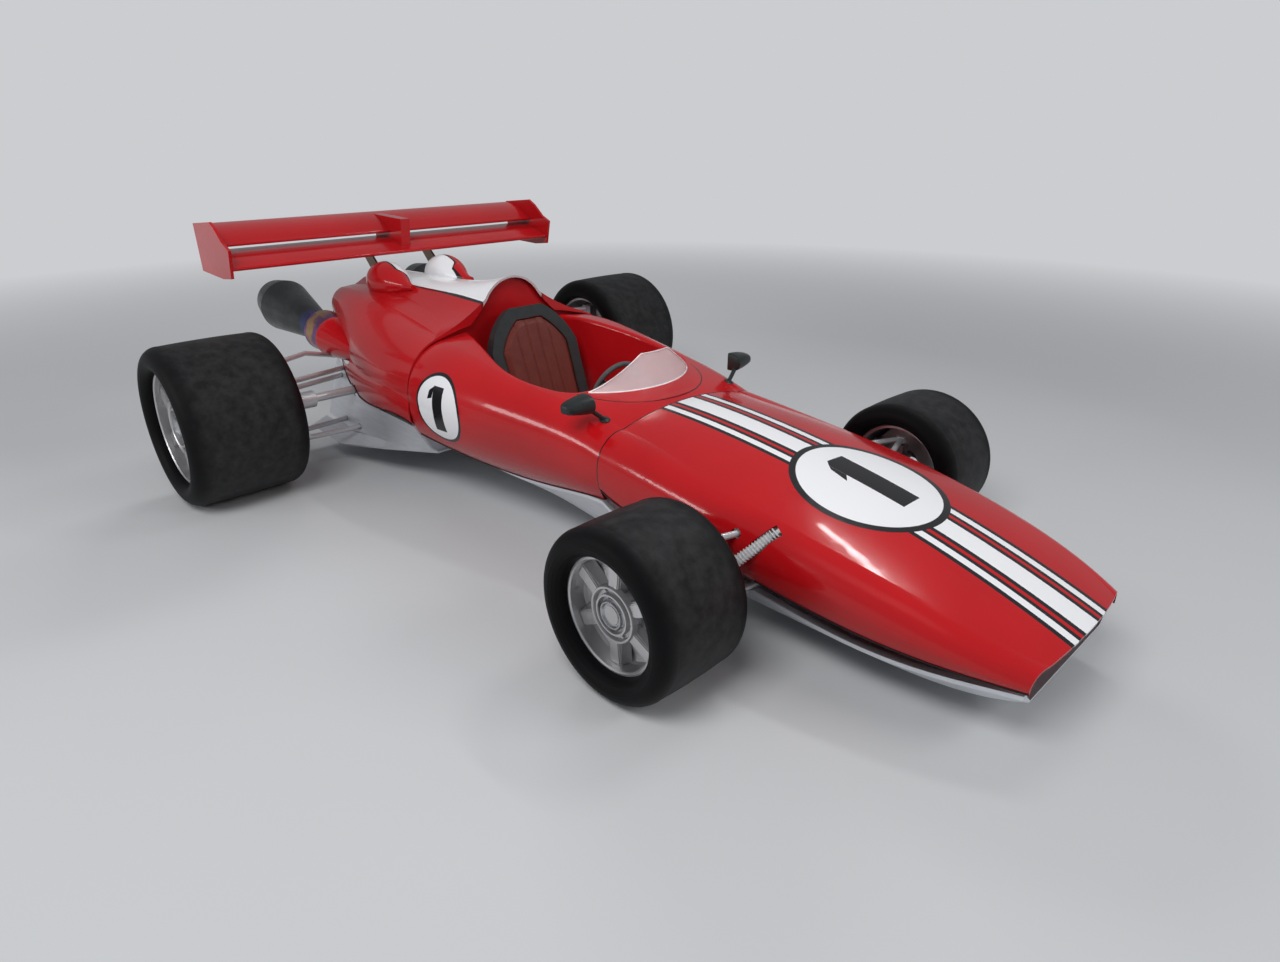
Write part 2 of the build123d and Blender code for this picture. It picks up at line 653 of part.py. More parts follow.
def seat_arch(inset, foot):
    """Arched outline of the seat back, drawn up the back plane."""
    half = SEAT_HALF_WIDTH - inset
    shoulder = back_length - 190.0
    with BuildSketch(back_plane, mode=Mode.PRIVATE) as face:
        with BuildLine():
            Polyline((-half * 0.92, foot), (-half, shoulder))
            ThreePointArc((-half, shoulder), (-half * 0.72, shoulder + 120 - inset * 0.75),
                          (-half * 0.38, back_length - inset))
            Line((-half * 0.38, back_length - inset), (half * 0.38, back_length - inset))
            ThreePointArc((half * 0.38, back_length - inset),
                          (half * 0.72, shoulder + 120 - inset * 0.75), (half, shoulder))
            Polyline((half, shoulder), (half * 0.92, foot), (-half * 0.92, foot))
        make_face()
    return face.sketch


with BuildPart() as seat_shell:
    extrude(seat_arch(0, 0), amount=-SEAT_BACK_DEPTH)
    with Locations((ahead(1080), 0, 124)):
        Box(340, 400, 58)
    extrude(seat_arch(SEAT_BORDER, 90), amount=-SEAT_RECESS, mode=Mode.SUBTRACT)
    with Locations((ahead(1110), 0, 147)):
        Box(220, 330, 30, mode=Mode.SUBTRACT)
    add(mid_pan.part, mode=Mode.SUBTRACT)
save(seat_shell.part, "seat_shell")
with BuildPart() as seat_pads:
    extrude(seat_arch(SEAT_BORDER + PAD_GAP, 90 + PAD_GAP), amount=-SEAT_RECESS + PAD_GAP)
    with Locations((ahead(1110), 0, 147)):
        Box(220 - 2 * PAD_GAP, 330 - 2 * PAD_GAP, 29)
save(seat_pads.part, "seat_pads")

# ---- dashboard with the column bush ----
column_dir = Vector(-math.cos(math.radians(COLUMN_TILT)), 0, math.sin(math.radians(COLUMN_TILT)))
wheel_centre = Vector(ahead(STEERING_WHEEL_AHEAD), 0, STEERING_WHEEL_Z)
column_plane = Plane(origin=wheel_centre, x_dir=(0, 1, 0), z_dir=column_dir)
with BuildPart() as dashboard:
    with Locations((ahead(1440), 0, 490)):
        Box(10, 700, 210)
    add(cockpit_cavity.part, mode=Mode.INTERSECT)
    with Locations(column_plane.offset(-115)):
        Cylinder(24, 60)
        Cylinder(COLUMN_RADIUS + PIN_CLEARANCE, 90, mode=Mode.SUBTRACT)
save(dashboard.part, "dashboard")

# ---- steering wheel and column ----
with BuildPart() as steering_wheel:
    with Locations(column_plane):
        Torus(STEERING_WHEEL_RADIUS - 11, 11)
    with Locations(column_plane.offset(-12)):
        Cylinder(26, 30)
    for turn in (90, 210, 330):
        with BuildSketch(column_plane.offset(-3)):
            with PolarLocations(0, 1, turn):
                with Locations((STEERING_WHEEL_RADIUS / 2 - 4, 0)):
                    Rectangle(STEERING_WHEEL_RADIUS - 24, 22)
        extrude(amount=4)
    with Locations(column_plane.offset(-COLUMN_LENGTH / 2)):
        Cylinder(COLUMN_RADIUS, COLUMN_LENGTH)
save(steering_wheel.part, "steering_wheel")

# ---- steering rack ----
rack_x = FRONT_AXLE_X - STEER_ARM
arm_pin_y = KINGPIN_Y - 6.0
with BuildPart() as rack:
    with Locations((rack_x, 0, RACK_Z)):
        Cylinder(COLUMN_RADIUS, 2 * RACK_HALF, rotation=(90, 0, 0))
        Cylinder(TIE_ROD_RADIUS, 2 * (arm_pin_y - EYE_BORE - 3), rotation=(90, 0, 0))
    for side in (-1, 1):
        with Locations((rack_x, side * arm_pin_y, RACK_Z)):
            Cylinder(EYE_BORE + 7, 16)
            Cylinder(EYE_BORE, 20, mode=Mode.SUBTRACT)
save(rack.part, "steering_rack")
with BuildPart() as housing:
    with Locations((rack_x, 0, RACK_Z)):
        Cylinder(24, 2 * HOUSING_HALF, rotation=(90, 0, 0))
        Box(60, 60, 60)
        Cylinder(COLUMN_RADIUS + PIN_CLEARANCE, 2 * HOUSING_HALF + 2, rotation=(90, 0, 0),
                 mode=Mode.SUBTRACT)
    for side in (-1, 1):
        with Locations((rack_x, side * 150, (RACK_Z + 88) / 2 - 12)):
            Box(30, 30, RACK_Z - 88 - 24 + 2)
    add(footbox.part, mode=Mode.SUBTRACT)
save(housing.part, "steering_rack_housing")

# ---- front knuckles ----
FRONT_SPINDLE = KINGPIN_INSET + FRONT_TYRE_WIDTH / 2 - RIM_INSET - 66
for side, label in ((-1, "knuckle_right"), (1, "knuckle_left")):
    outward = Plane(origin=(FRONT_AXLE_X, side * KINGPIN_Y, FRONT_TYRE_RADIUS), z_dir=(0, side, 0))
    with BuildPart() as knuckle:
        with Locations((FRONT_AXLE_X, side * KINGPIN_Y, FRONT_TYRE_RADIUS)):
            Box(46, 44, 2 * (FRONT_UPPER_BALL_Z - FRONT_TYRE_RADIUS))
            Cylinder(KINGPIN_RADIUS + PIN_CLEARANCE, 600, mode=Mode.SUBTRACT)
        with Locations(outward.offset(20)):
            Cylinder(40, 36)
        with Locations(outward.offset(20 + FRONT_SPINDLE / 2)):
            Cylinder(SPINDLE_RADIUS, FRONT_SPINDLE)
        with Locations((FRONT_AXLE_X - STEER_ARM / 2, side * (KINGPIN_Y - 6), RACK_Z - 20)):
            Box(STEER_ARM + 24, 24, 14)
        with Locations((rack_x, side * arm_pin_y, RACK_Z - 4)):
            Cylinder(PIN_RADIUS, 34)
    save(knuckle.part, label)

# ---- wheels: side, axle position, tyre and rim sizes ----
WHEELS = [
    # name, axle x, wheel centre y, tyre radius, tyre width, rim radius, barrel wall
    ("fl", FRONT_AXLE_X, FRONT_TRACK / 2, FRONT_TYRE_RADIUS, FRONT_TYRE_WIDTH, FRONT_RIM_RADIUS),
    ("fr", FRONT_AXLE_X, -FRONT_TRACK / 2, FRONT_TYRE_RADIUS, FRONT_TYRE_WIDTH, FRONT_RIM_RADIUS),
    ("rl", REAR_AXLE_X, REAR_TRACK / 2, REAR_TYRE_RADIUS, REAR_TYRE_WIDTH, REAR_RIM_RADIUS),
    ("rr", REAR_AXLE_X, -REAR_TRACK / 2, REAR_TYRE_RADIUS, REAR_TYRE_WIDTH, REAR_RIM_RADIUS),
]
for name, axle_x, centre_y, radius, width, rim_radius in WHEELS:
    side = 1 if centre_y > 0 else -1
    half = width / 2
    bead = half - RIM_INSET
    drop = radius * 0.20
    axle = Plane(origin=(axle_x, centre_y, radius), x_dir=(1, 0, 0), z_dir=(0, side, 0))
    turn_axis = Axis((axle_x, centre_y, radius), (0, 1, 0))
    section = Plane(origin=(axle_x, centre_y, radius), x_dir=(0, side, 0), z_dir=(1, 0, 0))
    up = 1 if section.y_dir.Z > 0 else -1
    with BuildPart() as tyre:
        with BuildSketch(section):
            with BuildLine():
                Line((-bead, up * rim_radius), (bead, up * rim_radius))
                ThreePointArc((bead, up * rim_radius), (half - 14, up * (rim_radius + 12)),
                              (half, up * (rim_radius + 0.45 * (radius - rim_radius))))
                ThreePointArc((half, up * (rim_radius + 0.45 * (radius - rim_radius))),
                              (half - 0.28 * drop, up * (radius - 0.28 * drop)),
                              (half - drop, up * (radius - 3)))
                ThreePointArc((half - drop, up * (radius - 3)), (0, up * radius),
                              (-half + drop, up * (radius - 3)))
                ThreePointArc((-half + drop, up * (radius - 3)),
                              (-half + 0.28 * drop, up * (radius - 0.28 * drop)),
                              (-half, up * (rim_radius + 0.45 * (radius - rim_radius))))
                ThreePointArc((-half, up * (rim_radius + 0.45 * (radius - rim_radius))),
                              (-half + 14, up * (rim_radius + 12)), (-bead, up * rim_radius))
            make_face()
        revolve(axis=turn_axis)
    save(tyre.part, f"tyre_{name}")
    hub_inner = -REAR_POST_INSET + 56 if name[0] == "r" else -KINGPIN_INSET + 45
    with BuildPart() as rim:
        with Locations(axle):
            Cylinder(rim_radius, 2 * bead)
            Cylinder(rim_radius - RIM_WALL, 2 * bead + 2, mode=Mode.SUBTRACT)
        with Locations(axle.offset((bead - 24 + hub_inner) / 2)):
            Cylinder(SPINDLE_RADIUS + 20, bead - 24 - hub_inner)
        with BuildSketch(axle.offset(bead - 52)):
            with PolarLocations(0, SPOKES, 90):
                with Locations(((rim_radius - RIM_WALL) / 2 + 1, 0)):
                    Rectangle(rim_radius - RIM_WALL + 2, 0.26 * rim_radius)
            Circle(0.42 * rim_radius)
        extrude(amount=26)
        with Locations(axle.offset(bead - 18)):
            Cylinder(28, 16)
        with Locations(axle.offset((bead - 40 + hub_inner - 10) / 2)):
            Cylinder(SPINDLE_RADIUS + PIN_CLEARANCE, bead - 40 - hub_inner + 10, mode=Mode.SUBTRACT)
    save(rim.part, f"rim_{name}")

# ---- rear frame, uprights, links and driveshafts ----
with BuildPart() as frame_box:
    with Locations((REAR_AXLE_X - 175, 0, 330)):
        Box(530, 2 * FRAME_Y, 460)
        Box(531, 2 * FRAME_Y - 24, 436, mode=Mode.SUBTRACT)
    with Locations((REAR_AXLE_X - 60, 0, REAR_TYRE_RADIUS - 187),
                   (REAR_AXLE_X - 60, 0, REAR_TYRE_RADIUS + 155)):
        Box(60, 2 * FRAME_Y - 20, 134)
    with Locations((REAR_AXLE_X, 0, REAR_TYRE_RADIUS)):
        Cylinder(70, 900, rotation=(90, 0, 0), mode=Mode.SUBTRACT)
    add(gearbox.part, mode=Mode.SUBTRACT)
    add(rear_pan.part, mode=Mode.SUBTRACT)
save(frame_box.part, "rear_frame")
with BuildPart() as uprights:
    for side in (-1, 1):
        outward = Plane(origin=(REAR_AXLE_X, side * rear_post_y, REAR_TYRE_RADIUS), z_dir=(0, side, 0))
        with Locations((REAR_AXLE_X, side * rear_post_y, REAR_TYRE_RADIUS)):
            Box(70, 50, 2 * (REAR_UPPER_BALL_Z - REAR_TYRE_RADIUS) + 36)
        with Locations(outward.offset(20)):
            Cylinder(90, 60)
        with Locations(outward.offset((REAR_POST_INSET + REAR_TYRE_WIDTH / 2 - RIM_INSET - 46) / 2)):
            Cylinder(SPINDLE_RADIUS, REAR_POST_INSET + REAR_TYRE_WIDTH / 2 - RIM_INSET - 46)
save(uprights.part, "rear_uprights")
with BuildPart() as links:
    for bar in rear_bars:
        add(bar)
    add(uprights.part, mode=Mode.SUBTRACT)
    with Locations((REAR_AXLE_X, 0, 365)):
        Box(1200, 2 * FRAME_Y, 900, mode=Mode.SUBTRACT)
save(links.part, "rear_links")
with BuildPart() as driveshafts:
    for side in (-1, 1):
        add(rod((REAR_AXLE_X, side * GEARBOX_Y, REAR_TYRE_RADIUS),
                (REAR_AXLE_X, side * (rear_post_y - 25), REAR_TYRE_RADIUS), 20))
        add(rod((REAR_AXLE_X, side * GEARBOX_Y, REAR_TYRE_RADIUS),
                (REAR_AXLE_X, side * (GEARBOX_Y + 110), REAR_TYRE_RADIUS), 48))
        add(rod((REAR_AXLE_X, side * (rear_post_y - 250), REAR_TYRE_RADIUS),
                (REAR_AXLE_X, side * (rear_post_y - 150), REAR_TYRE_RADIUS), 40))
save(driveshafts.part, "driveshafts")

# ---- mirrors ----
for side, label in ((-1, "mirror_right"), (1, "mirror_left")):
    with BuildPart() as mirror:
        with Locations((ahead(1636), side * 458, 636)):
            Cylinder(36, 116, rotation=(90, 0, 0))
        add(rod((ahead(1655), side * 330, 545), (ahead(1640), side * 436, 628), 7))
        add(cockpit_outer.part, mode=Mode.SUBTRACT)
    save(mirror.part, label)
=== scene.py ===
"""Looks of the open wheel racing car: its paint and marks, metals, rubber, glass and leather,
and the small pieces that its CAD leaves out. Metres, +X forward, +Y left, +Z up."""

import math

import bmesh
import bpy
import numpy as np
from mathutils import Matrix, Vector


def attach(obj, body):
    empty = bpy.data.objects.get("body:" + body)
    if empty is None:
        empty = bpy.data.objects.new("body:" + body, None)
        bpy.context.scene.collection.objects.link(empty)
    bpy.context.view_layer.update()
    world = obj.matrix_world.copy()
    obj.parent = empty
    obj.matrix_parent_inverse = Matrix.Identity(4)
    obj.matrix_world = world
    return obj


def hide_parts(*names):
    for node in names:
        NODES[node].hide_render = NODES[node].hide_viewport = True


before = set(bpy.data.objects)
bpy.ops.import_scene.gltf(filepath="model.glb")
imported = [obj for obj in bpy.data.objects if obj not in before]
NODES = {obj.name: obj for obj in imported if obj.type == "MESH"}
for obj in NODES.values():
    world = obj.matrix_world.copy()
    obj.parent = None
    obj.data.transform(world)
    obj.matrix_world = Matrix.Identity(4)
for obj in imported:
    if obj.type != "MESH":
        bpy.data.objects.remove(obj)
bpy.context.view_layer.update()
SIDES = {"left": 1.0, "right": -1.0}

# ---- camera ----
CAMERA_PLACE = (2.6682, -2.2109, 1.55317)
CAMERA_AZIMUTH = 135.981
CAMERA_PITCH = -23.652
CAMERA_LENS = 22.754
SENSOR_WIDTH = 36.0

# ---- colours, linear ----
RED = (0.46, 0.006, 0.009)
WHITE = (0.78, 0.78, 0.80)
BLACK = (0.012, 0.012, 0.014)

# ---- nose marks: widest first, each painted over the one before ----
STRIPES = [
    # half width, colour
    (0.134, BLACK),
    (0.117, WHITE),
    (0.090, BLACK),
    (0.075, RED),
    (0.060, BLACK),
    (0.043, WHITE),
]
STRIPES_START = 0.632
NOSE_ROUNDEL = {"x": 1.452, "outer": 0.260, "inner": 0.237}
NOSE_FIGURE = [
    # convex outlines of the figure: across to the car's left, and towards the cockpit
    [(-0.0295, -0.147), (0.0705, -0.147), (0.0725, 0.153), (-0.008, 0.158), (-0.0295, 0.136)],
    [(-0.0295, 0.066), (-0.0295, 0.136), (-0.045, 0.117), (-0.061, 0.044)],
]

# ---- side marks: centre and radii of the disc, and its figure ----
SIDE_ROUNDEL = {"x": -0.244, "z": 0.466, "outer": 0.150, "inner": 0.137}
SIDE_FIGURE = [
    # convex outlines: forwards, and up
    [(-0.034, -0.098), (0.034, -0.098), (0.042, 0.098), (-0.022, 0.098)],
    [(-0.030, 0.046), (-0.018, 0.098), (-0.050, 0.076), (-0.062, 0.036)],
]

# ---- engine cover marks: a white spine that narrows backwards and takes in the strut bumps ----
SPINE_FRONT_X = -0.475
SPINE_HALF_WIDTH = 0.165
SPINE_TAPER = 0.044
BUMP_RIDGE_Y = 0.168
BUMP_X = (-1.57, -1.18)
LINE_WIDTH = 0.012

# ---- how softly a painted edge ends ----
EDGE_SOFTNESS = 0.0007

# ---- panel seams: two straight ones, and the arc round the screen's plinth ahead of "from" ----
SEAMS_X = (0.630, -0.470)
SEAM_HALF_WIDTH = 0.0024
PLINTH = {"x": 0.272, "radius": 0.331, "from": 0.36}
SEAM_DARK = (0.010, 0.006, 0.006)

# ---- road dirt: the heights where it begins and where it is full, on the paint and on bare sheet ----
PAINT_DIRT_Z = (0.30, 0.10)
SHEET_DIRT_Z = (0.15, 0.08)

# ---- exhaust: where each tint begins, going forwards; the straw band round the collar's middle is a painted highlight, the others are heat tint ----
HEAT_TINTS_AND_HIGHLIGHT = [
    (-1.680, (0.09, 0.10, 0.20)),
    (-1.625, (0.25, 0.12, 0.32)),
    # straw: a painted highlight round the collar's middle
    (-1.560, (0.52, 0.33, 0.16)),
    (-1.515, (0.26, 0.13, 0.27)),
]
PIPE_PLACE = (-1.570, 0.450, 0.560)
PIPE_TILT = math.radians(7.5)

# ---- firewall: red above the seat's foot, bare sheet below ----
FIREWALL_SPLIT_Z = 0.335

# ---- tyres: where the tread fades out, inwards from its radius and side, and the moulded rings ----
TREAD_FADE = {"radius": 0.035, "side": 0.05}
TYRE_RING_BAND = (0.085, 0.05)
TYRE_RING_PITCH = 0.011

# ---- the radiator's fins and tubes ----
FIN_PITCH = 0.004
TUBE_PITCH = 0.016

# ---- wheels ----
WHEELS = {
    # corner: axle x, wheel centre's y, tyre radius, tyre half width, rim radius, brake disc's offset
    # outwards, and the body that carries its caliper; the axle is one tyre radius above the ground
    "fl": (1.200, 0.781, 0.275, 0.1815, 0.184, -0.022, "knuckle_left"),
    "fr": (1.200, -0.781, 0.275, 0.1815, 0.184, -0.022, "knuckle_right"),
    "rl": (-1.100, 1.162, 0.356, 0.2495, 0.249, -0.030, "chassis"),
    "rr": (-1.100, -1.162, 0.356, 0.2495, 0.249, -0.030, "chassis"),
}


class Graph:
    """A material's nodes, made by short calls. A value is a socket or a number."""

    def __init__(self, name, **shader):
        self.material = bpy.data.materials.new(name)
        self.material.use_nodes = True
        self.tree = self.material.node_tree
        self.shader = self.tree.nodes["Principled BSDF"]
        for key, value in shader.items():
            self.shader.inputs[key.replace("_", " ")].default_value = value

    def feed(self, socket, value):
        if isinstance(value, bpy.types.NodeSocket):
            self.tree.links.new(value, socket)
        elif value is not None:
            if socket.type == "RGBA" and len(value) == 3:
                value = (*value, 1.0)
            socket.default_value = value

    def node(self, kind, *values, **settings):
        made = self.tree.nodes.new("ShaderNode" + kind)
        for key, value in settings.items():
            setattr(made, key, value)
        for socket, value in zip(made.inputs, values):
            self.feed(socket, value)
        return made

    def math(self, operation, *values):
        return self.node("Math", *values, operation=operation).outputs[0]

    def place(self):
        """The point's own x, y and z in the car's frame."""
        parts = self.node("SeparateXYZ", self.coordinates())
        return tuple(parts.outputs)

    def coordinates(self):
        return self.node("TexCoord").outputs["Object"]

    def facing(self):
        """The surface's outward direction."""
        parts = self.node("SeparateXYZ", self.node("NewGeometry").outputs["Normal"])
        return tuple(parts.outputs)

    def above(self, value, level, soft=EDGE_SOFTNESS):
        """1 where the value is over the level and 0 where it is under, with a soft step between."""
        fixed = isinstance(level, float)
        low = level - soft if fixed else self.math("SUBTRACT", level, soft)
        high = level + soft if fixed else self.math("ADD", level, soft)
        return self.node("MapRange", value, low, high, 0.0, 1.0,
                         interpolation_type="SMOOTHSTEP").outputs[0]

    def below(self, value, level, soft=EDGE_SOFTNESS):
        return self.math("SUBTRACT", 1.0, self.above(value, level, soft))

    def length(self, first, second):
        squares = [self.math("MULTIPLY", value, value) for value in (first, second)]
        return self.math("SQRT", self.math("ADD", *squares))

    def gap(self, value, level):
        return self.math("ABSOLUTE", self.math("SUBTRACT", value, level))

    def all(self, *masks):
        joined = masks[0]
        for mask in masks[1:]:
            joined = self.math("MULTIPLY", joined, mask)
        return joined

    def any(self, *masks):
        joined = masks[0]
        for mask in masks[1:]:
            joined = self.math("MAXIMUM", joined, mask)
        return joined

    def outline(self, u, v, points):
        """1 inside a convex outline that runs either way round."""
        area = sum(a[0] * b[1] - b[0] * a[1] for a, b in zip(points, points[1:] + points[:1]))
        turn = 1.0 if area > 0 else -1.0
        masks = []
        for (ax, ay), (bx, by) in zip(points, points[1:] + points[:1]):
            length = math.hypot(bx - ax, by - ay)
            nx, ny = -turn * (by - ay) / length, turn * (bx - ax) / length
            inward = self.math("ADD", self.math("MULTIPLY", u, nx), self.math("MULTIPLY", v, ny))
            masks.append(self.above(inward, float(ax * nx + ay * ny)))
        return self.all(*masks)

    def noise(self, scale, detail=3.0, roughness=0.5, stretch=None):
        coordinates = self.coordinates()
        if stretch:
            coordinates = self.node("Mapping", coordinates, None, None, stretch).outputs[0]
        made = self.node("TexNoise")
        self.feed(made.inputs["Vector"], coordinates)
        made.inputs["Scale"].default_value = scale
        made.inputs["Detail"].default_value = detail
        made.inputs["Roughness"].default_value = roughness
        return made.outputs[0]

    def range(self, value, low, high, to_low=0.0, to_high=1.0):
        return self.node("MapRange", value, low, high, to_low, to_high).outputs[0]

    def mix(self, share, first, second):
        made = self.node("Mix", data_type="RGBA")
        self.feed(made.inputs[0], share)
        self.feed(made.inputs[6], first)
        self.feed(made.inputs[7], second)
        return made.outputs[2]

    def tinted(self, colour, share, amount=0.25):
        """The colour, darker by up to that amount where share is 1."""
        return self.mix(share, colour, tuple(c * (1 - amount) for c in colour))

    def set(self, socket, value):
        self.feed(self.shader.inputs[socket], value)

    def bump(self, height, strength, distance):
        made = self.node("Bump")
        made.inputs["Strength"].default_value = strength
        made.inputs["Distance"].default_value = distance
        self.feed(made.inputs["Height"], height)
        self.feed(self.shader.inputs["Normal"], made.outputs[0])


def dress(material, *names):
    """Gives a material to CAD nodes or pieces, by name or object."""
    for name in names:
        piece = NODES[name] if isinstance(name, str) else name
        piece.data.materials.clear()
        piece.data.materials.append(material)


# ---- body paint ----
def roundel(g, colour, where, spread, sizes, figure):
    """A white disc with a black rim and figure, where a mask allows it."""
    colour = g.mix(g.all(where, g.below(spread, sizes["outer"])), colour, BLACK)
    colour = g.mix(g.all(where, g.below(spread, sizes["inner"])), colour, WHITE)
    return g.mix(g.all(where, figure), colour, BLACK)


def nose_marks(g, colour, place):
    x, y, _ = place
    across = g.math("ABSOLUTE", y)
    top = g.above(g.facing()[2], -0.1, 0.05)
    run = g.all(top, g.above(x, STRIPES_START))
    for half, tint in STRIPES:
        colour = g.mix(g.all(run, g.below(across, half)), colour, tint)
    ahead = g.math("SUBTRACT", x, NOSE_ROUNDEL["x"])
    back = g.math("MULTIPLY", ahead, -1.0)
    figure = g.any(*[g.outline(y, back, points) for points in NOSE_FIGURE])
    return roundel(g, colour, top, g.length(ahead, y), NOSE_ROUNDEL, figure)


def side_marks(g, colour, place):
    x, y, z = place
    out = g.above(g.math("MULTIPLY", g.facing()[1], y), 0.0)
    ahead = g.math("SUBTRACT", x, SIDE_ROUNDEL["x"])
    height = g.math("SUBTRACT", z, SIDE_ROUNDEL["z"])
    reading = g.math("MULTIPLY", ahead, g.math("MULTIPLY", g.math("SIGN", y), -1.0))
    figure = g.any(*[g.outline(reading, height, points) for points in SIDE_FIGURE])
    return roundel(g, colour, out, g.length(ahead, height), SIDE_ROUNDEL, figure)


def cover_marks(g, colour, place):
    x, y, _ = place
    across = g.math("ABSOLUTE", y)
    behind = g.math("SUBTRACT", SPINE_FRONT_X, x)
    half = g.math("SUBTRACT", SPINE_HALF_WIDTH, g.math("MULTIPLY", behind, SPINE_TAPER))
    on_bump = g.all(g.above(x, BUMP_X[0], 0.02), g.below(x, BUMP_X[1], 0.06))
    half = g.math("MAXIMUM", half, g.math("MULTIPLY", on_bump, BUMP_RIDGE_Y))
    top = g.above(g.facing()[2], 0.0, 0.02)
    edged = g.below(across, g.math("ADD", half, LINE_WIDTH))
    colour = g.mix(g.all(top, edged), colour, BLACK)
    return g.mix(g.all(top, g.below(across, half)), colour, WHITE)


def body_paint(name, marks=None):
    """Glossy red with its marks, road dust low down and seams that skip a panel's end faces."""
    g = Graph(name, Coat_Weight=0.42, Coat_Roughness=0.07, Specular_IOR_Level=0.22)
    x, y, z = g.place()
    cloud = g.range(g.noise(2.2, 2.0), 0.35, 0.7)
    colour = g.tinted(RED, cloud, 0.16)
    if marks:
        colour = marks(g, colour, (x, y, z))
    dust = g.all(g.range(z, *PAINT_DIRT_Z, 0.0, 0.35), g.range(g.noise(18.0, 5.0), 0.4, 0.7, 0.2, 1.0))
    colour = g.mix(dust, colour, (0.10, 0.055, 0.045))
    seams = [g.below(g.gap(x, at), SEAM_HALF_WIDTH) for at in SEAMS_X]
    spread = g.length(g.math("SUBTRACT", x, PLINTH["x"]), y)
    ring = g.below(g.gap(spread, PLINTH["radius"]), SEAM_HALF_WIDTH)
    seams.append(g.all(ring, g.above(x, PLINTH["from"]), g.above(g.facing()[2], 0.3, 0.05)))
    on_skin = g.below(g.math("ABSOLUTE", g.facing()[0]), 0.75, 0.05)
    colour = g.mix(g.all(on_skin, g.any(*seams)), colour, SEAM_DARK)
    g.set("Base Color", colour)
    g.set("Roughness", g.range(g.noise(30.0, 4.0), 0.3, 0.7, 0.17, 0.26))
    g.bump(g.noise(420.0, 1.0), 0.05, 0.0006)
    return g.material


# ---- metals ----
def metal(name, colour, roughness, grain=60.0, stretch=None, darken=0.3, bump=0.15, scale=0.0006,
          metallic=1.0):
    """A metal with uneven tone and finish; stretch draws its grain out into brush lines."""
    g = Graph(name, Metallic=metallic)
    patch = g.range(g.noise(6.0, 4.0), 0.35, 0.7)
    g.set("Base Color", g.tinted(colour, patch, darken))
    lines = g.noise(grain, 4.0, 0.6, stretch)
    g.set("Roughness", g.range(lines, 0.3, 0.7, roughness * 0.75, roughness * 1.3))
    g.bump(lines, bump, scale)
    return g.material


def exhaust_metal():
    """Dark glossy steel that turns violet and blue towards the hot collar, with a straw band round the
    collar's middle that is a painted highlight.
    """
    g = Graph("heat_tinted_steel_and_highlight", Metallic=1.0)
    wander = g.range(g.noise(14.0, 3.0), 0.3, 0.7, -0.03, 0.03)
    along = g.math("ADD", g.place()[0], wander)
    dark = (0.080, 0.082, 0.085)
    colour = g.mix(g.range(g.noise(5.0, 4.0), 0.4, 0.65), dark, (0.13, 0.133, 0.136))
    for at, tint in HEAT_TINTS_AND_HIGHLIGHT:
        colour = g.mix(g.above(along, at, 0.02), colour, tint)
    g.set("Base Color", colour)
    g.set("Roughness", g.range(g.noise(40.0, 4.0), 0.3, 0.7, 0.30, 0.46))
    g.bump(g.noise(220.0, 2.0), 0.08, 0.0005)
    return g.material


def firewall_finish():
    """Body red above the seat's foot and bare sheet below it."""
    g = Graph("firewall_finish", Specular_IOR_Level=0.3)
    cloud = g.range(g.noise(4.0, 3.0), 0.35, 0.7)
    low = g.below(g.place()[2], FIREWALL_SPLIT_Z)
    g.set("Base Color", g.mix(low, g.tinted(RED, cloud, 0.3), (0.70, 0.72, 0.75)))
    g.set("Metallic", low)
    g.set("Roughness", g.range(g.noise(30.0, 4.0), 0.3, 0.7, 0.38, 0.48))
    g.bump(g.noise(220.0, 2.0), 0.04, 0.0004)
    return g.material


def tub_metal():
    """Polished aluminium sheet with faint rolling lines and road dirt low down."""
    g = Graph("polished_sheet", Metallic=0.72)
    lines = g.noise(90.0, 3.0, 0.55, (0.06, 1.0, 1.0))
    colour = g.mix(g.range(lines, 0.3, 0.7), (0.78, 0.80, 0.84), (0.72, 0.74, 0.78))
    dirt = g.all(g.range(g.place()[2], *SHEET_DIRT_Z, 0.0, 0.35),
                 g.range(g.noise(9.0, 4.0), 0.40, 0.75))
    g.set("Base Color", g.mix(dirt, colour, (0.30, 0.28, 0.26)))
    g.set("Roughness", g.range(lines, 0.3, 0.7, 0.40, 0.50))
    g.bump(lines, 0.03, 0.0004)
    return g.material


# ---- rubber, plastics, leather, glass ----
def rubber(name, colour, roughness=0.62, grain=260.0):
    g = Graph(name, Specular_IOR_Level=0.35)
    mottled = g.range(g.noise(9.0, 5.0), 0.3, 0.7)
    g.set("Base Color", g.mix(mottled, colour, tuple(c * 1.6 for c in colour)))
    g.set("Roughness", g.range(g.noise(40.0, 4.0), 0.3, 0.7, roughness - 0.08, roughness + 0.1))
    g.bump(g.noise(grain, 4.0, 0.65), 0.25, 0.0008)
    return g.material


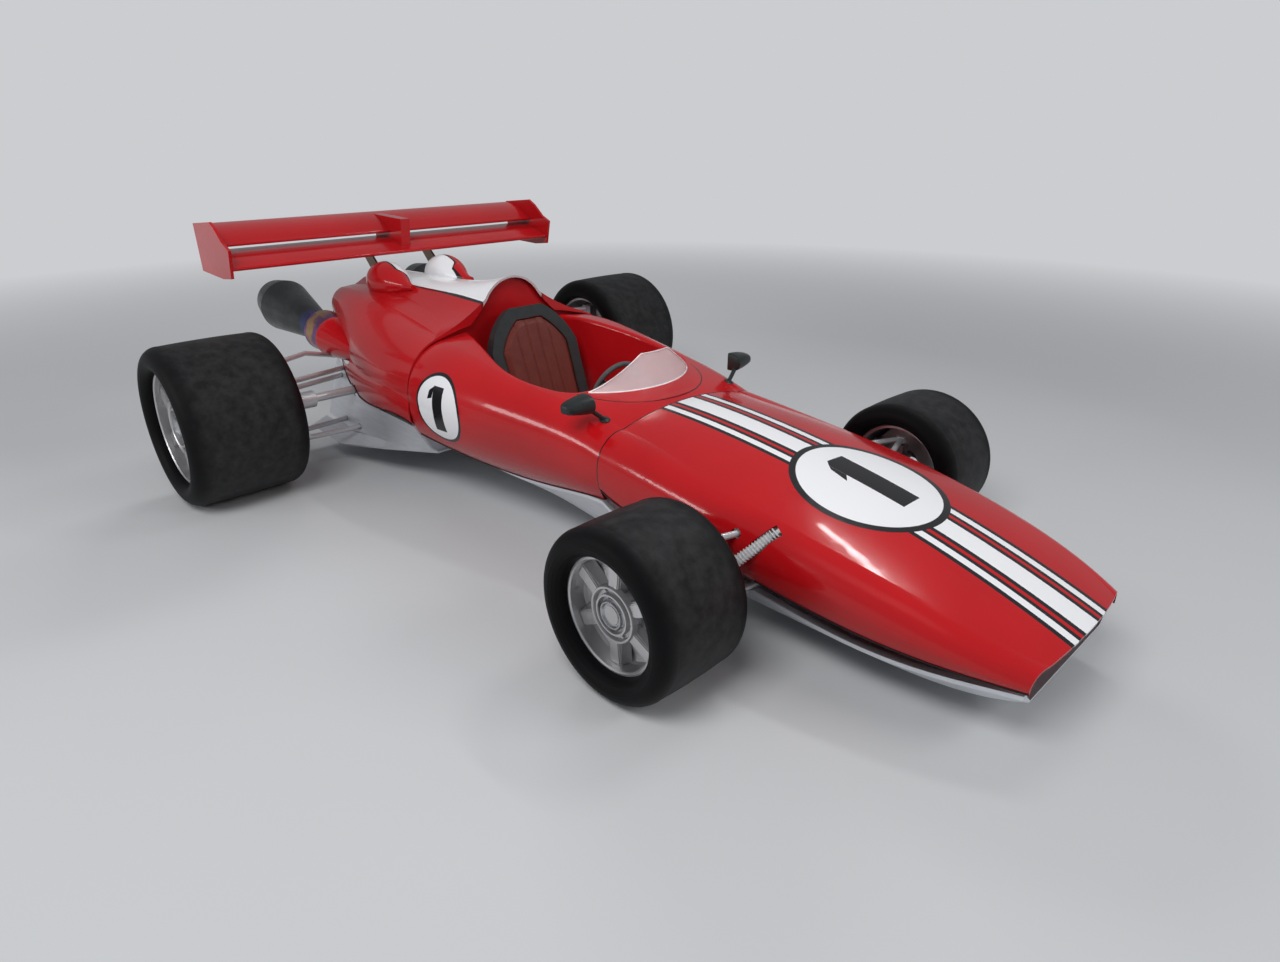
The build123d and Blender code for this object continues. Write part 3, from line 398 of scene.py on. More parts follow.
def tyre_rubber(wheel):
    """Slick rubber: a patchy grey tread whose lighter colour is a painted sheen, darker satin sidewalls
    with moulded rings.
    """
    g = Graph("tyre_rubber_" + wheel.corner, Specular_IOR_Level=0.3)
    x, y, z = g.place()
    reach = g.length(g.math("SUBTRACT", x, wheel.place.x), g.math("SUBTRACT", z, wheel.place.z))
    off = g.gap(g.math("ABSOLUTE", y), abs(wheel.place.y))
    tread = g.all(g.above(reach, wheel.tyre_radius - TREAD_FADE["radius"], 0.03),
                  g.below(off, wheel.half_width - TREAD_FADE["side"], 0.05))
    # the tread's lighter grey is a painted sheen, in patches
    sheen_patches = g.range(g.noise(26.0, 5.0, 0.6), 0.35, 0.68, 0.25, 1.0)
    g.set("Base Color", g.mix(g.all(tread, sheen_patches), (0.0025, 0.0025, 0.003), (0.021, 0.0213, 0.022)))
    g.set("Specular IOR Level", g.math("ADD", 0.12, g.math("MULTIPLY", tread, 0.22)))
    g.set("Roughness", g.mix(tread, (0.55, 0.55, 0.55), (0.60, 0.60, 0.60)))
    rings = g.range(g.math("SINE", g.math("MULTIPLY", reach, 2 * math.pi / TYRE_RING_PITCH)), 0.2, 0.9)
    inner, outer = [wheel.tyre_radius - inset for inset in TYRE_RING_BAND]
    wall = g.all(g.below(reach, outer, 0.004), g.above(reach, inner, 0.004))
    grain = g.math("MULTIPLY", g.noise(320.0, 3.0, 0.6), 0.5)
    g.bump(g.math("ADD", grain, g.all(wall, rings)), 0.4, 0.0012)
    return g.material


def leather(name, colour):
    g = Graph(name, Specular_IOR_Level=0.45)
    cells = g.node("TexVoronoi", g.coordinates(), None, 340.0)
    creases = g.noise(24.0, 5.0, 0.6)
    worn = g.range(creases, 0.30, 0.75)
    g.set("Base Color", g.mix(worn, colour, tuple(c * 0.80 for c in colour)))
    g.set("Roughness", g.range(creases, 0.3, 0.7, 0.42, 0.62))
    g.bump(g.math("ADD", cells.outputs[0], g.math("MULTIPLY", creases, 0.6)), 0.35, 0.0009)
    return g.material


def screen_glass():
    """Thin acrylic with an uneven milky rose haze."""
    g = Graph("tinted_acrylic", Transmission_Weight=0.55, IOR=1.12, Specular_IOR_Level=0.5)
    haze = g.range(g.noise(9.0, 3.0), 0.35, 0.7)
    g.set("Base Color", g.mix(haze, (0.90, 0.80, 0.81), (0.95, 0.86, 0.87)))
    g.set("Roughness", g.range(g.noise(40.0, 3.0), 0.3, 0.7, 0.08, 0.16))
    g.bump(g.noise(5.0, 1.0), 0.02, 0.001)
    return g.material


def radiator_core():
    """Fine upright fins between flat tubes, with painted shade darkening the gaps between them."""
    g = Graph("radiator_core", Metallic=0.7, Roughness=0.45)
    _, y, z = g.place()
    fins = g.math("SINE", g.math("MULTIPLY", y, 2 * math.pi / FIN_PITCH))
    tubes = g.math("SINE", g.math("MULTIPLY", z, 2 * math.pi / TUBE_PITCH))
    relief_and_gap_shade = g.range(g.math("MAXIMUM", fins, tubes), -0.6, 0.9)
    # near black in the gaps between fins and tubes: painted shade
    g.set("Base Color", g.mix(relief_and_gap_shade, (0.008, 0.008, 0.009), (0.12, 0.12, 0.125)))
    g.bump(relief_and_gap_shade, 0.6, 0.002)
    return g.material


nose_paint = body_paint("nose_paint", nose_marks)
cockpit_paint = body_paint("cockpit_paint", side_marks)
cover_paint = body_paint("cover_paint", cover_marks)
wing_paint = body_paint("wing_paint")
sheet_metal = tub_metal()
black_plastic = rubber("black_moulding", (0.014, 0.014, 0.015), 0.5, 500.0)
black_vinyl = leather("black_vinyl", (0.026, 0.029, 0.030))
wheel_leather = leather("wheel_leather", (0.085, 0.088, 0.090))
red_leather = leather("oxblood_leather", (0.135, 0.025, 0.018))
dark_piping = leather("dark_piping", (0.034, 0.014, 0.013))
pod_paint = rubber("mirror_pod_paint", (0.014, 0.017, 0.017), 0.34, 500.0)
mirror_glass = metal("mirror_glass", (0.80, 0.82, 0.84), 0.06, 8.0, darken=0.04, bump=0.01)
bright_wire = metal("bright_wire", (0.72, 0.72, 0.73), 0.36, 140.0, darken=0.1, metallic=0.45)
screen_rim = rubber("screen_edge_band", (0.62, 0.58, 0.58), 0.3, 300.0)
steel = metal("brushed_steel", (0.70, 0.70, 0.71), 0.38, 140.0, darken=0.15, metallic=0.7)
cast_alloy = metal("cast_alloy", (0.50, 0.505, 0.52), 0.42, 120.0, bump=0.5, scale=0.0012)
cast_iron = metal("cast_iron", (0.16, 0.16, 0.165), 0.6, 90.0, bump=0.8, scale=0.0016)
wheel_alloy = metal("wheel_alloy", (0.66, 0.65, 0.66), 0.42, 60.0, darken=0.14, bump=0.2, scale=0.0007)
bronze = metal("bronze_paint", (0.20, 0.145, 0.11), 0.38, 80.0, bump=0.25)
hub_alloy = metal("hub_alloy", (0.55, 0.55, 0.565), 0.30, 90.0, darken=0.2)
brake_iron = metal("brake_iron", (0.58, 0.575, 0.57), 0.44, 160.0, (1.0, 0.1, 1.0), 0.25, 0.2)
black_seal = rubber("black_seal", (0.006, 0.006, 0.007), 0.5, 400.0)
exhaust_steel = exhaust_metal()

dress(nose_paint, "nose_cone")
dress(cockpit_paint, "cockpit_body")
dress(cover_paint, "engine_cover")
dress(wing_paint, "wing_main_plane", "wing_flap", "wing_endplate_right", "wing_endplate_left",
      "wing_centre_plate")
dress(sheet_metal, "front_belly_pan", "middle_belly_pan", "rear_side_panels", "footbox")
dress(black_plastic, "dashboard")
dress(firewall_finish(), "firewall")
dress(black_vinyl, "seat_shell")
dress(wheel_leather, "steering_wheel")
dress(bright_wire, "front_dampers")
dress(steel, "front_upper_arms", "front_lower_arms", "rear_links", "driveshafts", "steering_rack")
dress(cast_alloy, "gearbox", "rear_frame", "rear_uprights", "steering_rack_housing",
      "knuckle_right", "knuckle_left")
dress(cast_iron, "engine_block")
dress(bronze, "wing_struts")
dress(exhaust_steel, "exhaust_right", "exhaust_left")
dress(screen_glass(), "windscreen")
dress(radiator_core(), "radiator")


# ---- mesh helpers ----
SMOOTH_BELOW = math.radians(38)


def scene_object(name, data):
    made = bpy.data.objects.new(name, data)
    bpy.context.scene.collection.objects.link(made)
    return made


def new_piece(name, bm, body, material, smooth=True):
    """A finished mesh that rides on a body."""
    bmesh.ops.recalc_face_normals(bm, faces=bm.faces)
    mesh = bpy.data.meshes.new(name)
    bm.to_mesh(mesh)
    bm.free()
    if smooth:
        mesh.shade_smooth()
        mesh.set_sharp_from_angle(angle=SMOOTH_BELOW)
    piece = scene_object(name, mesh)
    piece.data.materials.append(material)
    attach(piece, body)
    return piece


def mirrored(point, side):
    """A point of the left side, or its mirror image when side is -1."""
    return Vector((point[0], side * point[1], point[2]))


def circle(radius, count, turn=0.0):
    """Flat points evenly round a circle."""
    angles = [2 * math.pi * k / count + turn for k in range(count)]
    return [Vector((radius * math.cos(angle), radius * math.sin(angle), 0.0)) for angle in angles]


def lathe(bm, profile, place, axis, steps=48, closed=False):
    """Turns (radius, along) points about an axis through place."""
    place, turn = Vector(place), Vector(axis).to_track_quat("Z", "X").to_matrix()
    rings = []
    for radius, along in profile:
        points = circle(radius, steps) if radius > 0 else [Vector((0.0, 0.0, 0.0))]
        rings.append([bm.verts.new(place + turn @ (p + Vector((0.0, 0.0, along)))) for p in points])
    if closed:
        rings.append(rings[0])
    for low, high in zip(rings, rings[1:]):
        for k in range(steps):
            corners = [low[k % len(low)], low[(k + 1) % len(low)],
                       high[(k + 1) % len(high)], high[k % len(high)]]
            corners = list(dict.fromkeys(corners))
            if len(corners) > 2:
                bm.faces.new(corners)


def loft(bm, rings):
    """A solid through rings that have the same number of points, with closed ends."""
    rings = [[bm.verts.new(point) for point in ring] for ring in rings]
    count = len(rings[0])
    for low, high in zip(rings, rings[1:]):
        for k in range(count):
            after = (k + 1) % count
            bm.faces.new([low[k], low[after], high[after], high[k]])
    bm.faces.new(rings[0])
    bm.faces.new(rings[-1])


def round_off(bm, offset, least_angle=-1.0):
    """Bevels the edges whose faces turn by more than an angle, in radians, or all of them."""
    sharp = [edge for edge in bm.edges if edge.calc_face_angle(0.0) > least_angle]
    bmesh.ops.bevel(bm, geom=sharp, offset=offset, segments=2, affect="EDGES")


def tube(bm, points, radius, sides=10):
    """A round bar along points, with closed ends."""
    points = [Vector(p) for p in points]
    rings = []
    across = None
    for k, point in enumerate(points):
        along = (points[min(k + 1, len(points) - 1)] - points[max(k - 1, 0)]).normalized()
        if across is None:
            across = along.orthogonal().normalized()
        across = (across - along * across.dot(along)).normalized()
        other = along.cross(across)
        rings.append([point + radius * (across * math.cos(2 * math.pi * n / sides)
                                        + other * math.sin(2 * math.pi * n / sides))
                      for n in range(sides)])
    loft(bm, rings)


def bar_outline(count, radius, place, axis, turn=0.0):
    """Corner points of a regular prism's outline round an axis."""
    lay = Vector(axis).to_track_quat("Z", "X").to_matrix()
    return [Vector(place) + lay @ point for point in circle(radius, count, turn)]


# ---- wheels: what the CAD rims leave out ----
FRONT_RIM_RADIUS = 0.184
# from the tyre's side inwards to the rim's bead, and from there to the face that the details stand on
BEAD_INSET = 0.046
FACE_INSET = 0.026

# profiles are (radius, distance outwards from the wheel's face); the rings, dish, pin circle and
# spokes grow with the rim, while the nut and the pins keep their size
HUB_RINGS = [
    # inner radius, outer radius, rise
    (0.0765, 0.0915, 0.016),
    (0.0560, 0.0660, 0.018),
]
HUB_RING_SINK = 0.001
HUB_RING_EDGE = 0.001
HUB_RING_SHOULDER = 0.6
HUB_RING_CREST = 0.003
NUT_SIDES = 8
NUT_FLANKS = [(0.051, 0.0), (0.051, 0.010), (0.047, 0.014)]
NUT_FACE = [(0.046, 0.013), (0.043, 0.020), (0.039, 0.020), (0.034, 0.013), (0.020, 0.009),
            (0.010, 0.009), (0.008, 0.013), (0.004, 0.014), (0.0, 0.014)]
DISH_HUB = [(0.070, -0.024), (0.090, -0.030)]
PIN_COUNT = 6
PIN_CIRCLE = 0.0712
PIN_PROFILE = [(0.0042, -0.001), (0.0042, 0.006), (0.0034, 0.0072), (0.0, 0.0076)]
SPOKE_COUNT = 6
SPOKE_START = 0.080
SPOKE_DEPTH = 0.036
SPOKE_ENDS = [
    # half width at the crest, half width at the foot, rise
    (0.019, 0.029, 0.010),
    (0.022, 0.036, 0.004),
]
SPOKE_ROUNDING = 0.0030

# by the rim they are (distance inwards from its radius, distance outwards), the dish's from the
# wheel's face and the lip's from the bead
RIM_WALL = 0.0125
DISH_RIM = [(0.040, -0.040), (0.018, -0.036), (RIM_WALL, -0.026)]
LIP_SINK = 0.001
LIP_PROFILE = [(0.013, -0.020), (RIM_WALL, 0.0), (0.008, 0.005), (0.002, 0.004), (0.001, 0.0)]

# the valve's way from the axle, its foot's place inside the rim's radius and behind the bead, and
# how far its stem leans inwards
VALVE_WAY = (1.0, 0.0, 0.2)
VALVE_INSET = 0.016
VALVE_DEPTH = 0.030
VALVE_LEAN = 0.5
VALVE_PROFILE = [(0.0042, 0.0), (0.0042, 0.018), (0.0052, 0.019), (0.0052, 0.028), (0.0, 0.029)]

# the disc's gap to the rim's radius, and its edge as (outwards from its radius, along the axle)
DISC_GAP = 0.034
DISC_BORE = 0.050
DISC_HALF = 0.006
DISC_EDGE = [(0.0, -DISC_HALF), (0.0015, -0.004), (0.0015, 0.004), (0.0, DISC_HALF)]
CALIPER_OFFSETS = (-0.028, 0.028)
CALIPER_ANGLES = [math.radians(148 + 8 * k) for k in range(9)]
CALIPER_HALF = 0.019
CALIPER_OVER, CALIPER_UNDER = -0.008, 0.042
CALIPER_ROUNDING = 0.004


class Wheel:
    """One wheel's places and sizes, and how a piece is added to it."""

    def __init__(self, corner):
        (axle_x, centre_y, self.tyre_radius, self.half_width, self.rim_radius, self.disc_offset,
         self.caliper_body) = WHEELS[corner]
        self.corner = corner
        self.place = Vector((axle_x, centre_y, self.tyre_radius))
        self.out = Vector((0.0, math.copysign(1.0, centre_y), 0.0))
        self.bead = self.half_width - BEAD_INSET
        self.face = self.place + self.out * (self.bead - FACE_INSET)
        self.scale = self.rim_radius / FRONT_RIM_RADIUS
        self.disc_radius = self.rim_radius - DISC_GAP

    def scaled(self, profile):
        return [(radius * self.scale, along) for radius, along in profile]

    def from_rim(self, profile):
        return [(self.rim_radius - inset, along) for inset, along in profile]

    def add(self, kind, bm, material, body=None):
        new_piece(kind + "_" + self.corner, bm, body or "wheel_" + self.corner, material)


def hub_rings(wheel):
    bm = bmesh.new()
    for inner, outer, rise in HUB_RINGS:
        inner, outer = inner * wheel.scale, outer * wheel.scale
        middle, shoulder = (inner + outer) / 2, rise * HUB_RING_SHOULDER
        profile = [(inner, -HUB_RING_SINK), (inner + HUB_RING_EDGE, shoulder),
                   (middle - HUB_RING_CREST, rise), (middle + HUB_RING_CREST, rise),
                   (outer - HUB_RING_EDGE, shoulder), (outer, -HUB_RING_SINK)]
        lathe(bm, profile, wheel.face, wheel.out, steps=64)
    wheel.add("hub_rings", bm, wheel_alloy)


def wheel_nut(wheel):
    bm = bmesh.new()
    loft(bm, [bar_outline(NUT_SIDES, radius, wheel.face + wheel.out * along, wheel.out, math.pi / NUT_SIDES)
              for radius, along in NUT_FLANKS])
    lathe(bm, NUT_FACE, wheel.face, wheel.out, steps=40)
    wheel.add("wheel_nut", bm, hub_alloy)


def wheel_dish(wheel):
    bm = bmesh.new()
    lathe(bm, wheel.scaled(DISH_HUB) + wheel.from_rim(DISH_RIM), wheel.face, wheel.out, steps=72)
    wheel.add("wheel_dish", bm, wheel_alloy)


def drive_pins(wheel):
    bm = bmesh.new()
    circle_radius = PIN_CIRCLE * wheel.scale
    for pin in bar_outline(PIN_COUNT, circle_radius, wheel.face, wheel.out, math.pi / PIN_COUNT):
        lathe(bm, PIN_PROFILE, pin, wheel.out, steps=14)
    wheel.add("drive_pins", bm, steel)


def spoke_ribs(wheel):
    """Wedge-sided ribs, the first one upright, from the hub rings to the rim."""
    bm = bmesh.new()
    reaches = (SPOKE_START * wheel.scale, wheel.rim_radius - RIM_WALL)
    for k in range(SPOKE_COUNT):
        angle = math.pi / 2 + 2 * math.pi * k / SPOKE_COUNT
        along = Vector((math.cos(angle), 0, math.sin(angle)))
        across = Vector((-math.sin(angle), 0, math.cos(angle)))
        rings = []
        for reach, (half, foot, rise) in zip(reaches, SPOKE_ENDS):
            half, foot = half * wheel.scale, foot * wheel.scale
            rings.append([wheel.face + along * reach + across * w + wheel.out * h for w, h in
                          ((-foot, -SPOKE_DEPTH), (foot, -SPOKE_DEPTH), (half, rise), (-half, rise))])
        loft(bm, rings)
    round_off(bm, SPOKE_ROUNDING)
    wheel.add("spoke_ribs", bm, wheel_alloy)


def rim_lip(wheel):
    bm = bmesh.new()
    profile = [(radius, wheel.bead - LIP_SINK + along) for radius, along in wheel.from_rim(LIP_PROFILE)]
    lathe(bm, profile, wheel.place, wheel.out, steps=96)
    wheel.add("rim_lip", bm, wheel_alloy)


def valve(wheel):
    bm = bmesh.new()
    foot = (wheel.place + wheel.out * (wheel.bead - VALVE_DEPTH)
            + Vector(VALVE_WAY).normalized() * (wheel.rim_radius - VALVE_INSET))
    stem = (wheel.place - foot).normalized() * VALVE_LEAN + wheel.out
    lathe(bm, VALVE_PROFILE, foot, stem, steps=14)
    wheel.add("valve", bm, black_plastic)


def brake_disc(wheel):
    bm = bmesh.new()
    edge = [(wheel.disc_radius + bulge, along) for bulge, along in DISC_EDGE]
    profile = [(DISC_BORE, -DISC_HALF), *edge, (DISC_BORE, DISC_HALF)]
    lathe(bm, profile, wheel.place + wheel.out * wheel.disc_offset, wheel.out, steps=72, closed=True)
    wheel.add("brake_disc", bm, brake_iron)


def brake_caliper(wheel):
    """Two curved blocks, one on each side of the disc, on the body that doesn't spin."""
    bm = bmesh.new()
    section = [(CALIPER_OVER, -CALIPER_HALF), (CALIPER_OVER, CALIPER_HALF),
               (CALIPER_UNDER, CALIPER_HALF), (CALIPER_UNDER, -CALIPER_HALF)]
    for offset in CALIPER_OFFSETS:
        middle = wheel.place + wheel.out * (wheel.disc_offset + offset)
        rings = []
        for angle in CALIPER_ANGLES:
            ray = Vector((math.cos(angle), 0, math.sin(angle)))
            rings.append([middle + ray * (wheel.disc_radius - depth) + wheel.out * w
                          for depth, w in section])
        loft(bm, rings)
    round_off(bm, CALIPER_ROUNDING, 0.7)
    wheel.add("brake_caliper", bm, cast_alloy, wheel.caliper_body)


# ---- springs round the front dampers ----
DAMPER_FOOT = (1.231, 0.580, 0.235)
DAMPER_HEAD = (1.400, 0.400, 0.440)
SPRING_SPAN = (0.16, 0.97)
SPRING_TURNS = 24
SPRING_TURN_POINTS = 14
SPRING_RADIUS = 0.0165
SPRING_WIRE_RADIUS = 0.0028
SPRING_SEAT_DROP = 0.006
SPRING_SEAT = [(0.0, -0.003), (0.019, -0.003), (0.020, -0.001), (0.020, 0.004), (0.017, 0.006),
               (0.0, 0.006)]


def damper_spring(label, side):
    """A coil over part of the damper's length, with a seat below it."""
    foot, head = mirrored(DAMPER_FOOT, side), mirrored(DAMPER_HEAD, side)
    along = (head - foot).normalized()
    start, stop = [foot + (head - foot) * share for share in SPRING_SPAN]
    first = along.orthogonal().normalized()
    second = along.cross(first)
    count = SPRING_TURNS * SPRING_TURN_POINTS
    points = []
    for k in range(count + 1):
        angle = 2 * math.pi * k / SPRING_TURN_POINTS
        arm = SPRING_RADIUS * (first * math.cos(angle) + second * math.sin(angle))
        points.append(start + (stop - start) * (k / count) + arm)
    bm = bmesh.new()
    tube(bm, points, SPRING_WIRE_RADIUS, sides=8)
    lathe(bm, SPRING_SEAT, start - along * SPRING_SEAT_DROP, along, steps=28)
    new_piece("damper_spring_" + label, bm, "chassis", bright_wire)


# ---- black seal strips between the red body and the bare metal below ----
SEALS = [
    # shell, from x, to x, points
    ("nose_cone", 2.150, 1.340, 22),
    ("nose_cone", 1.255, 1.085, 6),
    ("nose_cone", 0.995, 0.634, 10),
    ("cockpit_body", 0.626, -0.466, 28),
    ("engine_cover", -0.474, -1.640, 26),
]
SEAL_RADIUS = 0.0028
SEAL_OFFSET = Vector((0.0, 0.0022, 0.0008))
SEAL_LEAST_Y = 0.1
# how much a point further out counts against one lower down
CORNER_LEAN = 0.5


def left_edges(node):
    """The edges of a shell's left side, as pairs of ends."""
    mesh = NODES[node].data
    ends = ([mesh.vertices[k].co.copy() for k in edge.vertices] for edge in mesh.edges)
    return [(p, q) for p, q in ends if min(p.y, q.y) > SEAL_LEAST_Y]


def lower_edge(edges, x):
    """The outer lower corner of a shell's left side where it crosses a plane of constant x."""
    best = None
    for p, q in edges:
        if (p.x - x) * (q.x - x) > 0 or p.x == q.x:
            continue
        at = p.lerp(q, (x - p.x) / (q.x - p.x))
        height = at.z - CORNER_LEAN * at.y
        if at.y > SEAL_LEAST_Y and (best is None or height < best.z - CORNER_LEAN * best.y):
            best = at
    return best


def seal_strips():
    edges = {node: left_edges(node) for node in ("nose_cone", "cockpit_body", "engine_cover")}
    for number, (node, start, stop, count) in enumerate(SEALS):
        corners = [lower_edge(edges[node], start + (stop - start) * k / (count - 1)) for k in range(count)]
        path = [corner + SEAL_OFFSET for corner in corners if corner is not None]
        bm = bmesh.new()
        for side in SIDES.values():
            tube(bm, [mirrored(point, side) for point in path], SEAL_RADIUS)
        new_piece("seal_strip_%d" % number, bm, "chassis", black_seal)


# ---- exhaust fairings and collars: offsets run backwards along the pipe from PIPE_PLACE ----
# the CAD cover's cone: where it starts, its radius there, and its growth up to offset 0
COVER_CONE = {"start": -0.600, "radius": 0.030, "growth": 0.076}
FAIRING_SKIN = 0.0012
FLARE = {"start": -0.40, "length": 0.275, "rise": 0.0145, "power": 1.5}
# the tucked-in first ring's offset and inset, then the first offset, length and steps of the rest
FAIRING_FOOT = (-0.46, 0.005)
FAIRING_SPAN = (-0.45, 0.325, 14)
FAIRING_LIP = [
    # inwards from the fairing's end radius, offset
    (-0.0003, -0.121), (0.0015, -0.1175), (0.005, -0.119), (0.008, -0.126), (0.011, -0.160),
]
COLLAR = [
    # radius, offset
    (0.0895, -0.165), (0.0925, -0.130), (0.0985, -0.080), (0.1045, -0.030), (0.1072, -0.004),
    (0.1078, 0.004), (0.1060, 0.012), (0.0990, 0.019), (0.0860, 0.024), (0.0740, 0.027),
    (0.0690, 0.033), (0.0670, 0.045),
]


def fairing_radius(offset):
    """The cover's own cone round the pipe, then a flare that leaves it towards the end."""
    along = (offset - COVER_CONE["start"]) / -COVER_CONE["start"]
    cone = COVER_CONE["radius"] + COVER_CONE["growth"] * along
    flare = max(0.0, (offset - FLARE["start"]) / FLARE["length"])
    return cone + FAIRING_SKIN + FLARE["rise"] * flare ** FLARE["power"]


def exhaust_fairing(label, side):
    """The red fairing with its rolled lip, and the heat-tinted collar that comes out of it, with a painted
    highlight band round its middle.
    """
    place = mirrored(PIPE_PLACE, side)
    back = (-math.cos(PIPE_TILT), 0.0, math.sin(PIPE_TILT))
    foot_offset, foot_inset = FAIRING_FOOT
    start, length, steps = FAIRING_SPAN
    offsets = [start + length * k / steps for k in range(steps + 1)]
    profile = [(fairing_radius(foot_offset) - foot_inset, foot_offset)]
    profile += [(fairing_radius(offset), offset) for offset in offsets]
    end = profile[-1][0]
    profile += [(end - inset, offset) for inset, offset in FAIRING_LIP]
    bm = bmesh.new()
    lathe(bm, profile, place, back, steps=72)
    new_piece("exhaust_fairing_" + label, bm, "chassis", wing_paint)
    bm = bmesh.new()
    lathe(bm, COLLAR, place, back, steps=72)
    new_piece("exhaust_collar_" + label, bm, "chassis", exhaust_steel)


# ---- mirrors ----
MIRROR_INBOARD, MIRROR_OUTBOARD = 0.398, 0.514
MIRROR_GLASS_X = 0.506
MIRROR_Z = 0.634
POD_STATIONS = [
    # share of the way from the inboard end to the tip, size
    (0.0, 0.80), (0.02, 0.93), (0.06, 1.0), (0.25, 1.0), (0.5, 1.0), (0.72, 1.0), (0.88, 0.97),
    (0.96, 0.84), (1.0, 0.60),
]
POD_HEIGHT = {"half": 0.0375, "taper": 0.48, "power": 1.8}
POD_DEPTH = {"full": 0.065, "taper": 0.36, "power": 1.5}
POD_ARC_STEPS = 16
POD_FULLNESS = {"ahead": 0.75, "up": 0.8}
POD_ROUNDING = 0.0022
STALK = [(0.556, 0.3500, 0.567), (0.552, 0.372, 0.586), (0.546, 0.398, 0.607), (0.541, 0.428, 0.622)]
STALK_RADIUS = 0.0085
STALK_FOOT = [(0.0, -0.003), (0.021, -0.003), (0.021, 0.0015), (0.017, 0.004), (0.010, 0.007),
              (0.0, 0.008)]
GLASS_START, GLASS_SPAN = 0.07, 0.84
GLASS_STEPS = 10
GLASS_HEIGHT, GLASS_END_HEIGHT = 0.86, 0.70
GLASS_PLANES = (MIRROR_GLASS_X - 0.0015, MIRROR_GLASS_X + 0.001)


def pod_section(share):
    """The pod's distance from the car's middle, half height and depth, part of the way to its tip."""
    across = MIRROR_INBOARD + share * (MIRROR_OUTBOARD - MIRROR_INBOARD)
    half = POD_HEIGHT["half"] * (1.0 - POD_HEIGHT["taper"] * share ** POD_HEIGHT["power"])
    depth = POD_DEPTH["full"] * (1.0 - POD_DEPTH["taper"] * share ** POD_DEPTH["power"])
    return across, half, depth


def fuller(value, power):
    """A sine or cosine raised to a power below 1, which fills out an oval's corners."""
    return math.copysign(abs(value) ** power, value)


def mirror_pod(label, side):
    """A rounded pod with a flat back, on a bent stalk that stands on the cockpit body."""
    bm = bmesh.new()
    rings = []
    for share, size in POD_STATIONS:
        across, half, depth = pod_section(share)
        ring = []
        for k in range(POD_ARC_STEPS + 1):
            angle = math.pi * (k / POD_ARC_STEPS - 0.5)
            ahead = depth * size * fuller(math.cos(angle), POD_FULLNESS["ahead"])
            up = half * size * fuller(math.sin(angle), POD_FULLNESS["up"])
            ring.append((MIRROR_GLASS_X + ahead, side * across, MIRROR_Z + up))
        rings.append(ring)
    loft(bm, rings)
    round_off(bm, POD_ROUNDING, 0.9)
    stalk = [mirrored(point, side) for point in STALK]
    tube(bm, stalk, STALK_RADIUS, sides=14)
    _, at, normal, _ = NODES["cockpit_body"].closest_point_on_mesh(stalk[0])
    lathe(bm, STALK_FOOT, at, normal, steps=24)
    name = "mirror_" + label
    pod = new_piece("mirror_pod_" + label, bm, "chassis", pod_paint)
    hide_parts(name)


def mirror_face(label, side):
    """The glass, a little inside the pod's flat back."""
    upper, lower = [], []
    for k in range(GLASS_STEPS + 1):
        across, half, _ = pod_section(GLASS_START + GLASS_SPAN * k / GLASS_STEPS)
        half *= GLASS_HEIGHT if 0 < k < GLASS_STEPS else GLASS_END_HEIGHT
        upper.append((side * across, MIRROR_Z + half))
        lower.append((side * across, MIRROR_Z - half))
    outline = upper + lower[::-1]
    bm = bmesh.new()
    loft(bm, [[(x, y, z) for y, z in outline] for x in GLASS_PLANES])
    new_piece("mirror_glass_" + label, bm, "chassis", mirror_glass)


# ---- windscreen edges ----
SCREEN_CENTRE_X = 0.122
SCREEN_HALF_ANGLE = 0.816
SCREEN_STEPS = 48
SCREEN_TOP_RADIUS = 0.0026
SCREEN_FOOT_RADIUS = 0.0034


def rows_of(items, name, width=3, kind=float):
    """One property of a mesh's vertices or edges, as the rows of an array."""
    flat = np.empty(len(items) * width, dtype=kind)
    items.foreach_get(name, flat)
    return flat.reshape(-1, width)


def screen_edges():
    """Bands along the screen's top and foot, found where upright planes cut its edges."""
    mesh = NODES["windscreen"].data
    ends = rows_of(mesh.edges, "vertices", 2, int)
    centre = np.array((SCREEN_CENTRE_X, 0.0, 0.0))
    places = rows_of(mesh.vertices, "co") - centre
    start, stop = places[ends[:, 0]], places[ends[:, 1]]
    top, foot = [], []
    for k in range(SCREEN_STEPS + 1):
        angle = SCREEN_HALF_ANGLE * (k / (SCREEN_STEPS / 2) - 1)
        side = np.array((-math.sin(angle), math.cos(angle), 0.0))
        a, b = start @ side, stop @ side
        cut = (a * b <= 0) & (a != b)
        at = start[cut] + (stop - start)[cut] * (a[cut] / (a - b)[cut])[:, None]
        at = at[at @ np.array((math.cos(angle), math.sin(angle), 0.0)) > 0] + centre
        if len(at):
            top.append(at[at[:, 2].argmax()])
            foot.append(at[at[:, 2].argmin()])
    bm = bmesh.new()
    tube(bm, top, SCREEN_TOP_RADIUS)
    tube(bm, foot, SCREEN_FOOT_RADIUS)
    new_piece("screen_edge_band", bm, "chassis", screen_rim)


# ---- seat cushions: CAD pads drawn in, remeshed, blown up as cloth, then sewn and piped ----
CUSHIONS = [
    # name, least height of the CAD pad's top, way its face looks, how far it may swell
    ("seat_cushion", 0.0, (0.0, 0.0, 1.0), 0.014),
    ("seat_back_cushion", 0.5, (0.9347, 0.0, 0.3555), 0.016),
]
CUSHION_SHRINK = 0.0035
CUSHION_VOXEL = 0.005
CUSHION_FRAMES = 20
CUSHION_PRESSURE = 4.0
SWELL_BACK = 0.002
SWELL_ASIDE = 0.003
CHANNELS = (-0.090, -0.030, 0.030, 0.090)
CHANNEL_WIDTH = 0.005
CHANNEL_DEPTH = 0.0045
PIPING_RADIUS = 0.0036
PIPING_SINK = 0.002
PIPING_INSET = 0.985
ACROSS = Vector((0.0, 1.0, 0.0))


